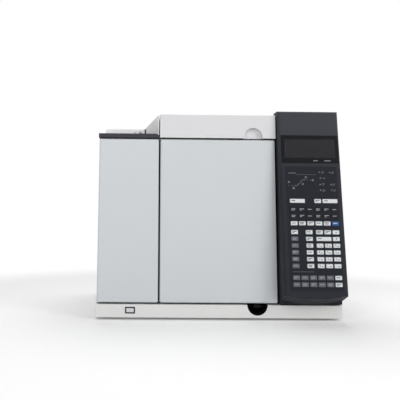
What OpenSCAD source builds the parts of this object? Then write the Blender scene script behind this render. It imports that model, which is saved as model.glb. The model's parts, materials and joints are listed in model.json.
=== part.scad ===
// Bench-top gas chromatograph: oven cabinet with a side-hinged door, inlet deck,
// lift-up detector cover, pneumatics cover and a leaning control console.
// Everything is laid out from the left side, the front plane of the door and the
// bench, and placed() moves that to the centre of the footprint. Millimetres, +Z up.

/* [Cabinet] */
// Width over the side panels
cabinet_w = 580; // [560:5:640]
// Depth from the front plane to the back of the rear panel
cabinet_d = 440; // [430:5:520]
// Height of the console top above the bench
cabinet_h = 497; // [480:1:580]
// Height of the rubber feet
foot_h = 6; // [4:1:15]
// Radius of the rubber feet
foot_r = 14; // [10:1:18]
// Height of the base tray above the feet
base_h = 30; // [28:1:45]
// Depth of the moulded strip in front of the base tray
fascia_d = 20; // [18:1:24]
// Thickness of the folded cover sheets
sheet_t = 1.5; // [1:0.1:2.5]
// Thickness of the base tray and chassis sheets
chassis_t = 2; // [1.5:0.1:3]
// Wall of the moulded covers
wall_t = 3; // [2:0.1:4]
// Width of the louvre slots in the right side panel
louvre_w = 110; // [60:5:140]
// Height of one louvre slot
louvre_h = 4; // [3:0.5:6]
// Distance from one louvre to the next
louvre_pitch = 14; // [12:1:20]

/* [Oven] */
// Width of the oven cavity
cavity_w = 310; // [240:5:340]
// Distance of the oven cavity from the left cover sheet
oven_in = 59.5; // [50:0.5:64]
// Height of the oven cavity
cavity_h = 280; // [220:5:320]
// Depth of the usable oven cavity, from its mouth to the fan shroud
cavity_d = 160; // [130:5:180]
// Depth behind the shroud for the fan wheel and the heater
fan_space = 50; // [44:1:64]
// Thickness of the stainless oven liner
liner_t = 1.2; // [0.8:0.1:2]
// Insulation left between the cavity and the sheets around it
insulation_back = 40; // [30:1:50]
// Radius of the oven fan wheel
fan_r = 85; // [70:1:100]
// Width of the oven fan blades
fan_blade_w = 22; // [16:1:26]
// Radius of the oven fan shaft
fan_shaft_r = 4; // [3:0.5:6]
// Radius of the oven fan motor
motor_r = 42; // [30:1:50]
// Length of the oven fan motor
motor_l = 62; // [45:1:75]
// Width of the air ducts
duct_w = 64; // [48:1:72]
// Height of the air ducts
duct_h = 54; // [44:1:62]
// Length of the exhaust outlet behind the rear panel
outlet_l = 22; // [16:1:40]
// Radius of the wire coil that carries the column
cage_r = 85; // [70:1:95]

/* [Door] */
// Thickness of the oven door
door_t = 45; // [40:1:55]
// Width of the left facing panel of the door
left_panel_w = 144; // [120:1:180]
// Width of the dark seam between the two facing panels
seam_w = 4; // [3:0.5:8]
// Thickness of the facing panels
panel_t = 16; // [12:1:20]
// Radius along the front edges of the facing panels
panel_edge_r = 4; // [2:0.5:5]
// Width of the soft roll down the right edge of the door
roll_w = 14; // [8:1:20]
// Depth of the soft roll
roll_d = 2.5; // [1:0.5:4]
// Running gap between the back of the door and the oven face
door_gap = 3; // [2.8:0.1:5]
// Width of the bars of the door frame
frame_bar = 14; // [13:1:20]
// Distance of the hinge axis from the left edge of the door
hinge_in = 8; // [8:0.5:8.5]
// Distance of the hinge axis in front of the back of the door
hinge_fwd = 15; // [14:0.5:15]
// Radius of the door hinge pins
hinge_pin_r = 4; // [3:0.5:4]
// Length of the door hinge pins inside the frame
hinge_pin_l = 12; // [8:1:16]

/* [Latch] */
// Radius of the finger recess below the door
recess_r = 24; // [21:1:25]
// Distance of the finger recess from the right edge of the door
recess_in = 48; // [40:1:80]
// Width of the latch lever
lever_w = 16; // [12:1:20]
// Radius of the latch pivot pin
latch_pin_r = 2; // [1.5:0.5:2.5]
// Turn of the lever from latched to released
latch_turn = 16; // [14:1:18]

/* [Top covers] */
// Height of the inlet deck tray
deck_h = 10; // [8:1:14]
// Depth of the inlet deck and the detector bay
bay_d = 240; // [220:5:260]
// Height of the detector cover
cover_h = 58; // [54:1:70]
// How far the console stands above the other covers
hood_rise = 8; // [4:1:14]
// Radius of the thumb recess in the detector cover
thumb_r = 22; // [18:1:26]
// Depth of the thumb recess
thumb_d = 12; // [8:1:16]
// Radius of the rod that the detector cover turns on
cover_rod_r = 3; // [2:0.5:4]
// Radius of the sampler mounting post
post_r = 2; // [1.5:0.5:4]
// Top of the sampler mounting post above the deck plate
post_h = 36; // [24:1:50]

/* [Console] */
// Width of the control console
console_w = 147; // [140:1:160]
// How far the console top stands in front of the door plane
console_top_out = 12; // [8:1:20]
// How far the console lip stands in front of the door plane
console_lip_out = 49; // [40:1:60]
// Height of the middle of the console lip above the bench
console_lip_z = 58; // [54:1:70]
// Rise of the lip line from the middle to the ends
lip_sag = 8; // [4:0.5:10]
// Radius down the front corners of the console
console_corner_r = 8; // [5:0.5:10]
// Depth of the console behind the door plane
console_back = 30; // [26:1:34]

/* [Display and keys] */
// Distance down the face to the display bezel
bezel_down = 60; // [50:1:70]
// Height of the display bezel
bezel_h = 68; // [60:1:76]
// Width of the display window
window_w = 123; // [100:1:126]
// Height of the display window
window_h = 46; // [36:1:50]
// Width of a normal key
key_w = 16.2; // [12:0.1:17]
// Width of a wide key
wide_key_w = 35.4; // [30:0.1:36]
// Height of a key
key_h = 10; // [7:0.1:12]
// Distance from one key column to the next
key_pitch = 19.3; // [18.6:0.1:20]
// Distance from one key row to the next
row_pitch = 15.35; // [14.4:0.05:16]
// Height of the keys above the console face
key_rise = 1.5; // [1:0.1:3]
// Travel of the keys
key_travel = 1; // [0.6:0.1:1.2]
// Gap round each key in the key plate
key_gap = 0.3; // [0.2:0.05:0.5]

/* [Services] */
// Bore of the gas fittings, for 1/8 inch tube
gas_bore_r = 1.6; // [1.6:0.05:1.7]
// Size of the square cooling fan frame
cool_fan_size = 80; // [60:10:92]
// Depth of the cooling fan frame
cool_fan_d = 25; // [20:1:38]

/* [Hidden] */
$fn = 48;
run_gap = 0.05;
eps = 1;

// Stations across the width, from the left
console_x = cabinet_w - console_w;
door_x0 = 2;
door_x1 = console_x - 5;
bay_wall_x = console_x - 3;
cavity_x0 = sheet_t + oven_in;
cavity_x1 = cavity_x0 + cavity_w;
cavity_cx = (cavity_x0 + cavity_x1) / 2;
seam_x0 = door_x0 + left_panel_w;
seam_x1 = seam_x0 + seam_w;
// Stations up from the bench
base_top = foot_h + base_h;
tray_top = base_top + chassis_t;
door_z0 = base_top + 4;
covers_top = cabinet_h - hood_rise;
cover_z = covers_top - cover_h;
plate_top = cover_z - 1;
plate_z = plate_top - chassis_t;
door_z1 = plate_z;
deck_top = plate_top + deck_h;
cavity_cz = (tray_top + plate_z) / 2;
cavity_z0 = cavity_cz - cavity_h / 2;
cavity_z1 = cavity_cz + cavity_h / 2;
// Stations from the front plane to the rear
oven_y = door_t + door_gap;
shroud_y = oven_y + cavity_d;
liner_back = shroud_y + fan_space;
insulation_end = liner_back + liner_t + insulation_back;
rear_y = cabinet_d - sheet_t;
overall_d = console_lip_out + cabinet_d + outlet_l;

// ---------------------------------------------------------------- shared shapes

// Moves the layout so that the middle of the footprint is at the origin
module placed() {
    translate([-cabinet_w / 2, console_lip_out - overall_d / 2, 0]) children();
}

// A block between two opposite corners
module span(lo, hi) {
    translate(lo) cube(hi - lo);
}

// A round bar along X
module rod_x(y, z, r, x0, x1) {
    translate([x0, y, z]) rotate([0, 90, 0]) cylinder(r = r, h = x1 - x0);
}

// A round bar along Y
module rod_y(x, z, r, y0, y1) {
    translate([x, y1, z]) rotate([90, 0, 0]) cylinder(r = r, h = y1 - y0);
}

// A round bar along Z
module rod_z(x, y, r, z0, z1) {
    translate([x, y, z0]) cylinder(r = r, h = z1 - z0);
}

// A rectangle with round corners, from the origin
module round_rect(size, r) {
    translate([r, 0]) square([size[0] - 2 * r, size[1]]);
    translate([0, r]) square([size[0], size[1] - 2 * r]);
    for (x = [r, size[0] - r], y = [r, size[1] - r]) translate([x, y]) circle(r = r);
}

// A round-cornered slab whose outline is seen from the front
module front_slab(lo, hi, r) {
    translate([lo[0], hi[1], lo[2]]) rotate([90, 0, 0])
        linear_extrude(hi[1] - lo[1]) round_rect([hi[0] - lo[0], hi[2] - lo[2]], r);
}

// A profile whose front corners are round, for a length along its own Z
module soft_profile(size, r, length) {
    linear_extrude(length) {
        translate([0, r]) square([size[0], size[1] - r]);
        translate([r, 0]) square([size[0] - 2 * r, size[1]]);
        for (x = [r, size[0] - r]) translate([x, r]) circle(r = r);
    }
}

// A slab with round corners and round front edges
module soft_slab(lo, hi, corner_r, edge_r) {
    size = hi - lo;
    intersection() {
        front_slab(lo, hi, corner_r);
        translate(lo) soft_profile([size[0], size[1]], edge_r, size[2]);
        translate([lo[0], lo[1], lo[2] + size[2]]) rotate([0, 90, 0])
            soft_profile([size[2], size[1]], edge_r, size[0]);
    }
}

// ---------------------------------------------------------------- base

foot_in = 40;

module feet() {
    color("#202022") placed()
        for (x = [foot_in, cabinet_w - foot_in], y = [fascia_d + foot_in, cabinet_d - foot_in])
            difference() {
                rod_z(x, y, foot_r, 0, foot_h);
                rod_z(x, y, foot_r / 3, -eps, foot_h / 2);
            }
}

recess_x = door_x1 - recess_in;
vent_w = 60;
vent_l = 5;

// Folded tray that everything stands on, with cooling slots under the electronics
module base_pan() {
    color("#d4d5d6") placed() difference() {
        span([0, fascia_d, foot_h], [cabinet_w, cabinet_d, base_top]);
        span([chassis_t, fascia_d + chassis_t, foot_h + chassis_t],
             [cabinet_w - chassis_t, cabinet_d - chassis_t, base_top + eps]);
        rod_y(recess_x, base_top, recess_r, 0, fascia_d + chassis_t + eps);
        for (k = [0 : 8])
            span([console_x + 40, 250 + k * 12, foot_h - eps],
                 [console_x + 40 + vent_w, 250 + k * 12 + vent_l, foot_h + chassis_t + eps]);
    }
}

switch_cx = 81;
switch_cz = base_top - 13;
switch_w = 23;
switch_h = 15;

// Moulded strip along the front of the base, with the switch and finger openings
module base_fascia() {
    color("#d6d7d8") placed() difference() {
        soft_slab([0, 0, foot_h], [cabinet_w, fascia_d, base_top], 2.5, 1.5);
        span([wall_t, wall_t, foot_h + wall_t],
             [cabinet_w - wall_t, fascia_d + eps, base_top - wall_t]);
        rod_y(recess_x, base_top, recess_r, -eps, fascia_d + eps);
        span([switch_cx - switch_w / 2, -eps, switch_cz - switch_h / 2],
             [switch_cx + switch_w / 2, wall_t + eps, switch_cz + switch_h / 2]);
    }
}

cup_t = 2;
cup_back = oven_y - 2;
pivot_y = 16;
pivot_z = base_top - 5;

// Half-round cup behind the finger recess; its walls carry the latch pin
module latch_cup() {
    color("#17171a") placed() difference() {
        intersection() {
            rod_y(recess_x, base_top, recess_r, 0.6, cup_back);
            span([recess_x - recess_r, 0, base_top - recess_r], [recess_x + recess_r, cup_back, base_top]);
        }
        rod_y(recess_x, base_top, recess_r - cup_t, -eps, cup_back - cup_t);
        rod_x(pivot_y, pivot_z, latch_pin_r + run_gap, recess_x - recess_r - eps, recess_x + recess_r + eps);
    }
}

nose_in = 20;
nose_h = 17;
nose_y = pivot_y + nose_in;
lever_t = 5;
latch_pin_half = sqrt(pow(recess_r - cup_t, 2) - pow(base_top - pivot_z, 2)) + cup_t / 2;

// Latch lever, shown released: a finger tab, a cross pin and a ramped nose
module latch_lever() {
    color("#2a2a2e") placed()
        translate([recess_x, pivot_y, pivot_z]) rotate([-latch_turn, 0, 0]) {
            translate([-lever_w / 2, 0, 0]) rotate([90, 0, 90]) linear_extrude(lever_w)
                polygon([
                    [-12, -lever_t / 2], [-12, -lever_t / 2 - 2], [-10, -lever_t / 2 - 2], [-8, -lever_t / 2],
                    [nose_in + 4, -lever_t / 2], [nose_in + 4, nose_h - 8], [nose_in + 1, nose_h],
                    [nose_in - 1, nose_h], [nose_in - 6, lever_t / 2], [-12, lever_t / 2]
                ]);
            rod_x(0, 0, latch_pin_r, -latch_pin_half, latch_pin_half);
        }
}

bezel_rim = 2.5;
bezel_proud = 0.8;

// Rim and body of the mains switch
module power_switch() {
    color("#2c2d31") placed() difference() {
        span([switch_cx - switch_w / 2, -bezel_proud, switch_cz - switch_h / 2],
             [switch_cx + switch_w / 2, fascia_d, switch_cz + switch_h / 2]);
        span([switch_cx - switch_w / 2 + bezel_rim, -bezel_proud - eps, switch_cz - switch_h / 2 + bezel_rim],
             [switch_cx + switch_w / 2 - bezel_rim, fascia_d - 2, switch_cz + switch_h / 2 - bezel_rim]);
    }
}

switch_play = 0.3;
switch_travel = 3;

// Push-on, push-off mains button
module power_button() {
    color("#eceeee") placed()
        soft_slab([switch_cx - switch_w / 2 + bezel_rim + switch_play, -bezel_proud - 0.7,
                   switch_cz - switch_h / 2 + bezel_rim + switch_play],
                  [switch_cx + switch_w / 2 - bezel_rim - switch_play, fascia_d - 2 - switch_travel - 1,
                   switch_cz + switch_h / 2 - bezel_rim - switch_play], 1.2, 0.8);
}

// ---------------------------------------------------------------- sheet-metal body

flange = 12;

// Left cover sheet with its folded front edge
module left_side_panel() {
    color("#dcdddf") placed() union() {
        span([0, oven_y, base_top], [sheet_t, rear_y, plate_top]);
        span([0, bay_d, base_top], [sheet_t, rear_y, deck_top]);
        span([sheet_t, oven_y, tray_top], [sheet_t + flange, oven_y + liner_t, plate_z]);
    }
}

louvre_y0 = 210;
louvre_rows = 14;
louvre_z0 = 120;

// Right cover sheet: outer side, top and an inner fold beside the covers
module right_side_panel() {
    color("#dcdddf") placed() {
        difference() {
            union() {
                span([cabinet_w - sheet_t, console_back, base_top], [cabinet_w, rear_y, covers_top]);
                span([bay_wall_x + sheet_t, console_back, covers_top - sheet_t],
                     [cabinet_w, rear_y, covers_top]);
                span([bay_wall_x + sheet_t, console_back, plate_top - flange],
                     [console_x, rear_y, covers_top]);
            }
            for (k = [0 : louvre_rows - 1])
                span([cabinet_w - sheet_t - eps, louvre_y0, louvre_z0 + k * louvre_pitch],
                     [cabinet_w + eps, louvre_y0 + louvre_w, louvre_z0 + k * louvre_pitch + louvre_h]);
        }
        for (k = [0 : louvre_rows - 1])
            translate([cabinet_w - sheet_t, louvre_y0, louvre_z0 + k * louvre_pitch + louvre_h])
                rotate([90, 0, 180]) louvre_vane();
    }
}

// One inward louvre vane, sloping down from the upper edge of its slot
module louvre_vane() {
    linear_extrude(louvre_w)
        polygon([[0, 0], [0, sheet_t], [louvre_h + 2, -louvre_h + sheet_t], [louvre_h + 2, -louvre_h]]);
}

inlet_x = console_x + 90;
inlet_z = base_top + 44;
inlet_w = 48;
inlet_h = 28;
conn_x = console_x + 80;
conn_z0 = base_top + 130;
conn_w = 40;
conn_h = 120;
cool_x = console_x + console_w / 2;
cool_z = covers_top - 66;
duct_z = cavity_cz + cavity_h / 2 - duct_h - 17;
exhaust_x = cavity_cx + 85;
intake_x = cavity_cx - 85 - duct_w;
gas_x = [95, 195, 335];
gas_z = plate_top + 26;
gas_shank_r = 4.5;

// Rear sheet with its air, service and gas openings
module rear_panel() {
    color("#c9cacc") placed() difference() {
        span([0, rear_y, base_top], [cabinet_w, cabinet_d, covers_top - sheet_t]);
        for (x = [exhaust_x, intake_x])
            span([x + liner_t, rear_y - eps, duct_z + liner_t],
                 [x + duct_w - liner_t, cabinet_d + eps, duct_z + duct_h - liner_t]);
        for (x = gas_x) rod_y(x, gas_z, gas_shank_r, rear_y - eps, cabinet_d + eps);
        span([inlet_x - inlet_w / 2, rear_y - eps, inlet_z - inlet_h / 2],
             [inlet_x + inlet_w / 2, cabinet_d + eps, inlet_z + inlet_h / 2]);
        span([conn_x - conn_w / 2, rear_y - eps, conn_z0],
             [conn_x + conn_w / 2, cabinet_d + eps, conn_z0 + conn_h]);
        fan_guard_cuts();
        for (k = [0 : 9])
            span([cavity_cx - 40, rear_y - eps, cavity_z0 + k * 10],
                 [cavity_cx + 40, cabinet_d + eps, cavity_z0 + k * 10 + 4]);
    }
}

// Ring slots in front of the cooling fan, broken by four spokes
module fan_guard_cuts() {
    difference() {
        for (k = [1 : 4])
            difference() {
                rod_y(cool_x, cool_z, k * 8 + 4, rear_y - eps, cabinet_d + eps);
                rod_y(cool_x, cool_z, k * 8 - 1, rear_y - 2 * eps, cabinet_d + 2 * eps);
            }
        for (a = [45, 135])
            translate([cool_x, cabinet_d, cool_z]) rotate([0, a, 0])
                span([-cool_fan_size, -4 * eps, -1.5], [cool_fan_size, 4 * eps, 1.5]);
    }
}

det_x = cavity_x1 - 81;
unit_y = [80, 160];
inlet_unit_x = cavity_x0 + 33;
unit_r = 14;

// C-shaped chassis: oven tray, wall to the electronics bay, and top plate
module chassis_frame() {
    color("#a9abad") placed() difference() {
        union() {
            span([sheet_t, oven_y, base_top], [bay_wall_x + sheet_t, rear_y, tray_top]);
            span([bay_wall_x, oven_y, base_top], [bay_wall_x + sheet_t, rear_y, plate_top]);
            span([sheet_t, fascia_d, plate_z], [bay_wall_x + sheet_t, rear_y, plate_top]);
        }
        for (y = unit_y, x = [inlet_unit_x, det_x]) rod_z(x, y, unit_r, plate_z - eps, plate_top + eps);
        for (k = [0 : 5])
            span([100, 330 + k * 14, base_top - eps], [330, 330 + k * 14 + 5, tray_top + eps]);
    }
}

deck_floor = 3;

// Black recessed tray round the two sample inlets
module inlet_deck() {
    color("#3a3b42") placed() difference() {
        deck_outline(deck_top, 0);
        translate([0, 0, deck_floor]) deck_outline(deck_top + eps, 4);
        for (y = unit_y) rod_z(inlet_unit_x, y, unit_r, 0, deck_top + eps);
        rod_z(post_x, post_y, post_r + 2, 0, deck_top + eps);
    }
}

deck_r = 8;

// Outline of the deck with its round right shoulder, pulled in by a margin
module deck_outline(top, margin) {
    translate([margin, bay_d - margin, 0]) rotate([90, 0, 0]) linear_extrude(bay_d - 2 * margin) {
        translate([0, plate_top]) square([seam_x0 - 2 * margin - deck_r, top - plate_top]);
        translate([0, plate_top]) square([seam_x0 - 2 * margin, 2]);
        intersection() {
            translate([seam_x0 - 2 * margin - deck_r, top - deck_r]) circle(r = deck_r);
            translate([0, plate_top]) square([seam_x0, top - plate_top]);
        }
    }
}

// Fixed cover over the flow modules, behind the deck and the detector bay
module pneumatics_cover() {
    color("#dfe0e2") placed() difference() {
        union() {
            soft_slab_y([0, bay_d, deck_top], [bay_wall_x, rear_y, covers_top]);
            span([sheet_t + wall_t, bay_d, plate_top], [bay_wall_x, rear_y - wall_t, deck_top]);
        }
        span([wall_t + sheet_t + wall_t, bay_d + wall_t, plate_top - eps],
             [bay_wall_x - wall_t, rear_y + eps, deck_top]);
        span([wall_t, bay_d + wall_t, deck_top - eps],
             [bay_wall_x - wall_t, rear_y + eps, covers_top - wall_t]);
    }
}

// A block with a softened front and front top edge
module soft_slab_y(lo, hi) {
    size = hi - lo;
    r = 5;
    translate([lo[0], lo[1], lo[2]]) rotate([90, 0, 90]) linear_extrude(size[0]) {
        square([size[1], size[2] - r]);
        translate([r, 0]) square([size[1] - r, size[2]]);
        translate([r, size[2] - r]) circle(r = r);
    }
}

// ---------------------------------------------------------------- control console

hood_r = 8;
lip_r = 3;
face_slope = (console_lip_out - console_top_out) / (cabinet_h - console_lip_z - lip_r);
lean = atan(face_slope);
console_z0 = base_top + 2;

// Place of the console face at a height, before its edges are rounded
function face_y(z) = -console_top_out - (cabinet_h - z) * face_slope;

// Points of an arc round a centre
function arc(c, r, a0, a1, n = 8) =
    [for (i = [0 : n]) let (a = a0 + (a1 - a0) * i / n) [c[0] + r * cos(a), c[1] + r * sin(a)]];

// Frame of the console face: x from its left edge, y into the console, z up the face
module on_face() {
    translate([console_x, -console_top_out, cabinet_h]) rotate([-lean, 0, 0]) children();
}

// A round-cornered slab on the face, from corners given as [across, down, into]
module face_slab(lo, hi, r) {
    on_face() translate([lo[0], hi[2], -hi[1]]) rotate([90, 0, 0])
        linear_extrude(hi[2] - lo[2]) round_rect([hi[0] - lo[0], hi[1] - lo[1]], r);
}

// A profile in the Y-Z plane, extruded across the console
module across(points, x0, x1) {
    translate([console_x + x0, 0, 0]) rotate([90, 0, 90]) linear_extrude(x1 - x0) polygon(points);
}

under_slope = atan((console_lip_z - console_z0) / console_lip_out);

// Outer form of the console: leaning face, round corners and a sagging lip
module console_form() {
    sag_r = (pow(console_w / 2, 2) + pow(lip_sag, 2)) / (2 * lip_sag);
    intersection() {
        across(concat(
            [[console_back, cabinet_h]],
            arc([face_y(cabinet_h - hood_r) + hood_r / cos(lean), cabinet_h - hood_r], hood_r, 90, 180 - lean),
            arc([-console_lip_out + lip_r, console_lip_z + lip_r], lip_r, 180, 270 - under_slope, 5),
            [[0, console_z0], [console_back, console_z0]]), 0, console_w);
        on_face() translate([0, 0, -cabinet_h])
            soft_profile([console_w, 160], console_corner_r, cabinet_h + 60);
        union() {
            translate([console_x + console_w / 2, 0, console_z0 - 0.5]) rotate([-90 - under_slope, 0, 0])
                translate([0, -sag_r, -200]) cylinder(r = sag_r, h = 400, $fn = 240);
            span([console_x, 0, console_z0 - eps], [cabinet_w, console_back + eps, 3 * cabinet_h / 4]);
            span([console_x, -100, 2 * sag_r / 3], [cabinet_w, console_back + eps, cabinet_h + eps]);
        }
    }
}

plate_margin = 12;
plate_down = bezel_down + bezel_h + 8;
keys_end = 424;

// Moulded console shell with the display and keypad openings
module console_housing() {
    skin = wall_t / cos(lean);
    floor_rise = lip_sag + wall_t + 1;
    color("#44454b") placed() difference() {
        console_form();
        across([
            [console_back - wall_t, cabinet_h - wall_t],
            [face_y(cabinet_h - wall_t) + skin + 2, cabinet_h - wall_t],
            [face_y(cabinet_h - hood_r) + skin, cabinet_h - hood_r],
            [face_y(console_lip_z + floor_rise) + skin, console_lip_z + floor_rise],
            [0, console_z0 + floor_rise], [console_back - wall_t, console_z0 + floor_rise]
        ], wall_t, console_w - wall_t);
        span([console_x + wall_t, console_back - wall_t - eps, console_z0 + floor_rise],
             [cabinet_w - wall_t, console_back + eps, covers_top - sheet_t]);
        face_slab([bezel_side, bezel_down, -2], [console_w - bezel_side, bezel_down + bezel_h, wall_t + 2], 2);
        face_slab([plate_margin, plate_down, -2], [console_w - plate_margin, keys_end, wall_t + 2], 2);
    }
}

bezel_side = 5;
window_x = (console_w - window_w) / 2 + 1;
window_down = bezel_down + (bezel_h - window_h) / 2 - 2;

// Dark frame round the display
module display_bezel() {
    color("#222226") placed() difference() {
        face_slab([bezel_side, bezel_down, -0.3], [console_w - bezel_side, bezel_down + bezel_h, wall_t], 2);
        face_slab([window_x + 2, window_down + 2, -2],
                  [window_x + window_w - 2, window_down + window_h - 2, wall_t + 2], 1);
        face_slab([window_x, window_down, -2], [window_x + window_w, window_down + window_h, 1.8], 1);
    }
}

// Clear window in front of the display
module display_window() {
    color("#3c3c40") placed()
        face_slab([window_x, window_down, 0.4], [window_x + window_w, window_down + window_h, 1.8], 1);
}

plate_t = 2.5;
board_in = 9;
web_in = plate_t + 0.1;
web_t = 1;

// Board behind the face: display module, key contact sheet, standoffs and processor
module console_board() {
    color("#2f6a45") placed() union() {
        face_slab([8, bezel_down + 4, board_in], [console_w - 8, keys_end - 4, board_in + 1.6], 2);
        face_slab([window_x - 2, window_down - 4, wall_t + 0.2],
                  [window_x + window_w + 2, window_down + window_h + 4, board_in], 1);
        face_slab([plate_margin + 4, run_row - key_h, web_in + web_t + key_travel + 0.3],
                  [console_w - plate_margin - 4, keys_end - 8, board_in], 1);
        for (x = [25, console_w - 25]) {
            on_face() rod_y(x, -plate_down + 4, 4, wall_t, board_in);
            on_face() rod_y(x, -run_row + 2 * key_h, 4, plate_t, board_in);
        }
        for (d = [150, 210, 300])
            face_slab([50, d, board_in + 1.6], [82, d + 32, board_in + 5], 1);
    }
}

// ---------------------------------------------------------------- keypad

// Centres of the key columns; the block stands a little right of the middle
key_block_right = 2.95;
number_in = 4.6;
function col(c) = console_w / 2 + key_block_right + (c - 2.5) * key_pitch;
run_row = 218.1;
function_row = 238.4;
mode_row = 270.4;
number_row = 290.6;
program_row = 393.7;

prep_key = [[col(0.5) + 0.4, run_row, wide_key_w]];
stop_key = [[col(3), run_row, key_w]];
start_key = [[col(4.5), run_row, wide_key_w]];
function_keys = [for (r = [0, 1], c = [0 : 5]) [col(c), function_row + r * row_pitch, key_w]];
mode_keys = [for (c = [0 : 4]) [col(c), mode_row, key_w]];
shift_key = [[col(5), mode_row, key_w]];
menu_keys = [for (r = [1 : 5]) [col(0), number_row + r * row_pitch, key_w]];
number_block = [for (r = [0 : 5], c = [2 : 5]) if (r != 1 || c == 2 || c == 5)
    [c == 2 ? col(c) - number_in : col(c), number_row + r * row_pitch, key_w]];
enter_key = [[col(3.5), number_row + row_pitch, wide_key_w]];
corner_key = [[col(0), number_row, key_w]];
end_keys = [for (r = [0, 1]) [col(5), program_row + r * row_pitch, key_w]];
program_keys = [for (r = [0, 1], c = [0 : 4]) [col(c), program_row + r * row_pitch, key_w]];
all_keys = concat(prep_key, stop_key, start_key, function_keys, mode_keys, shift_key, menu_keys,
                  number_block, enter_key, corner_key, end_keys, program_keys);

// Keys of one group on their common rubber web, behind the key plate
module key_group(keys) {
    rim = 0.8;
    for (k = keys) {
        face_slab([k[0] - k[2] / 2, k[1] - key_h / 2, -key_rise + 0.5],
                  [k[0] + k[2] / 2, k[1] + key_h / 2, web_in], 1.5);
        face_slab([k[0] - k[2] / 2 + 0.5, k[1] - key_h / 2 + 0.5, -key_rise],
                  [k[0] + k[2] / 2 - 0.5, k[1] + key_h / 2 - 0.5, -key_rise + 0.5], 1.2);
    }
    face_slab([min([for (k = keys) k[0] - k[2] / 2]) - rim, min([for (k = keys) k[1]]) - key_h / 2 - rim, web_in],
              [max([for (k = keys) k[0] + k[2] / 2]) + rim, max([for (k = keys) k[1]]) + key_h / 2 + rim,
               web_in + web_t], 1);
}

// Plate with one opening for each key
module keypad_plate() {
    color("#2b2c33") placed() on_face() translate([0, plate_t, 0]) rotate([90, 0, 0]) linear_extrude(plate_t)
        difference() {
            translate([plate_margin, -keys_end])
                round_rect([console_w - 2 * plate_margin, keys_end - plate_down], 2);
            for (k = all_keys)
                translate([k[0] - k[2] / 2 - key_gap, -k[1] - key_h / 2 - key_gap])
                    round_rect([k[2] + 2 * key_gap, key_h + 2 * key_gap], 1.5 + key_gap);
        }
}

module key_prep() { color("#e2e4e4") placed() key_group(prep_key); }
module key_stop() { color("#e2e4e4") placed() key_group(stop_key); }
module key_start() { color("#e2e4e4") placed() key_group(start_key); }
module keys_function() { color("#1d1d20") placed() key_group(function_keys); }
module keys_mode() { color("#e2e4e4") placed() key_group(mode_keys); }
module key_shift() { color("#1f62b0") placed() key_group(shift_key); }
module keys_menu() { color("#70747c") placed() key_group(menu_keys); }
module keys_number() {
    color("#e2e4e4") placed() {
        key_group(concat(number_block, enter_key));
        key_group(corner_key);
        key_group(end_keys);
    }
}
module keys_program() { color("#70747c") placed() key_group(program_keys); }

// ---------------------------------------------------------------- oven

shaft_hole_r = 9;
column_tube_r = 5;
heat_sleeve_r = 12;

// Mineral wool round the liner, with its shaft, duct, inlet and detector holes
module oven_insulation() {
    color("#d9d2bd") placed() difference() {
        span([sheet_t + 6, oven_y + liner_t, tray_top], [bay_wall_x - 6, insulation_end, plate_z]);
        span([cavity_x0 - liner_t, oven_y, cavity_z0 - liner_t],
             [cavity_x1 + liner_t, liner_back + liner_t, cavity_z1 + liner_t]);
        rod_y(cavity_cx, cavity_cz, shaft_hole_r, liner_back, insulation_end + eps);
        for (x = [exhaust_x, intake_x])
            span([x, liner_back, duct_z], [x + duct_w, insulation_end + eps, duct_z + duct_h]);
        for (y = unit_y, x = [inlet_unit_x, det_x]) rod_z(x, y, heat_sleeve_r, cavity_z1, plate_z + eps);
    }
}

// Stainless cavity with its front flange
module oven_liner() {
    color("#b9bbbd") placed() difference() {
        union() {
            span([cavity_x0 - liner_t, oven_y, cavity_z0 - liner_t],
                 [cavity_x1 + liner_t, liner_back + liner_t, cavity_z1 + liner_t]);
            span([sheet_t + flange, oven_y, tray_top], [bay_wall_x, oven_y + liner_t, plate_z]);
        }
        span([cavity_x0, oven_y - eps, cavity_z0], [cavity_x1, liner_back, cavity_z1]);
        rod_y(cavity_cx, cavity_cz, shaft_hole_r, liner_back - eps, liner_back + liner_t + eps);
        for (x = [exhaust_x, intake_x])
            span([x + liner_t, liner_back - eps, duct_z + liner_t],
                 [x + duct_w - liner_t, liner_back + liner_t + eps, duct_z + duct_h - liner_t]);
        for (y = unit_y, x = [inlet_unit_x, det_x])
            rod_z(x, y, column_tube_r, cavity_z1 - eps, cavity_z1 + liner_t + eps);
    }
}

shroud_eye_r = 58;

// Perforated baffle between the cavity and the fan: a ringed eye and edge slots
module fan_shroud() {
    color("#c3c5c7") placed() difference() {
        span([cavity_x0, shroud_y, cavity_z0], [cavity_x1, shroud_y + liner_t, cavity_z1]);
        difference() {
            for (r = [18 : 10 : shroud_eye_r - 2])
                difference() {
                    rod_y(cavity_cx, cavity_cz, r + 3.5, shroud_y - eps, shroud_y + liner_t + eps);
                    rod_y(cavity_cx, cavity_cz, r - 3.5, shroud_y - 2 * eps, shroud_y + liner_t + 2 * eps);
                }
            for (a = [0, 60, 120])
                translate([cavity_cx, shroud_y, cavity_cz]) rotate([0, a, 0])
                    span([-shroud_eye_r - 9, -3 * eps, -3], [shroud_eye_r + 9, 5 * eps, 3]);
        }
        for (side = [0, 1], k = [0 : 7])
            span([side == 0 ? cavity_x0 + 12 : cavity_x1 - 18, shroud_y - eps, cavity_z0 + 30 + k * 28],
                 [side == 0 ? cavity_x0 + 18 : cavity_x1 - 12, shroud_y + liner_t + eps,
                  cavity_z0 + 48 + k * 28]);
    }
}

coil_r = 2.5;
coil_ring_r = fan_r + 16;

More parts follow.
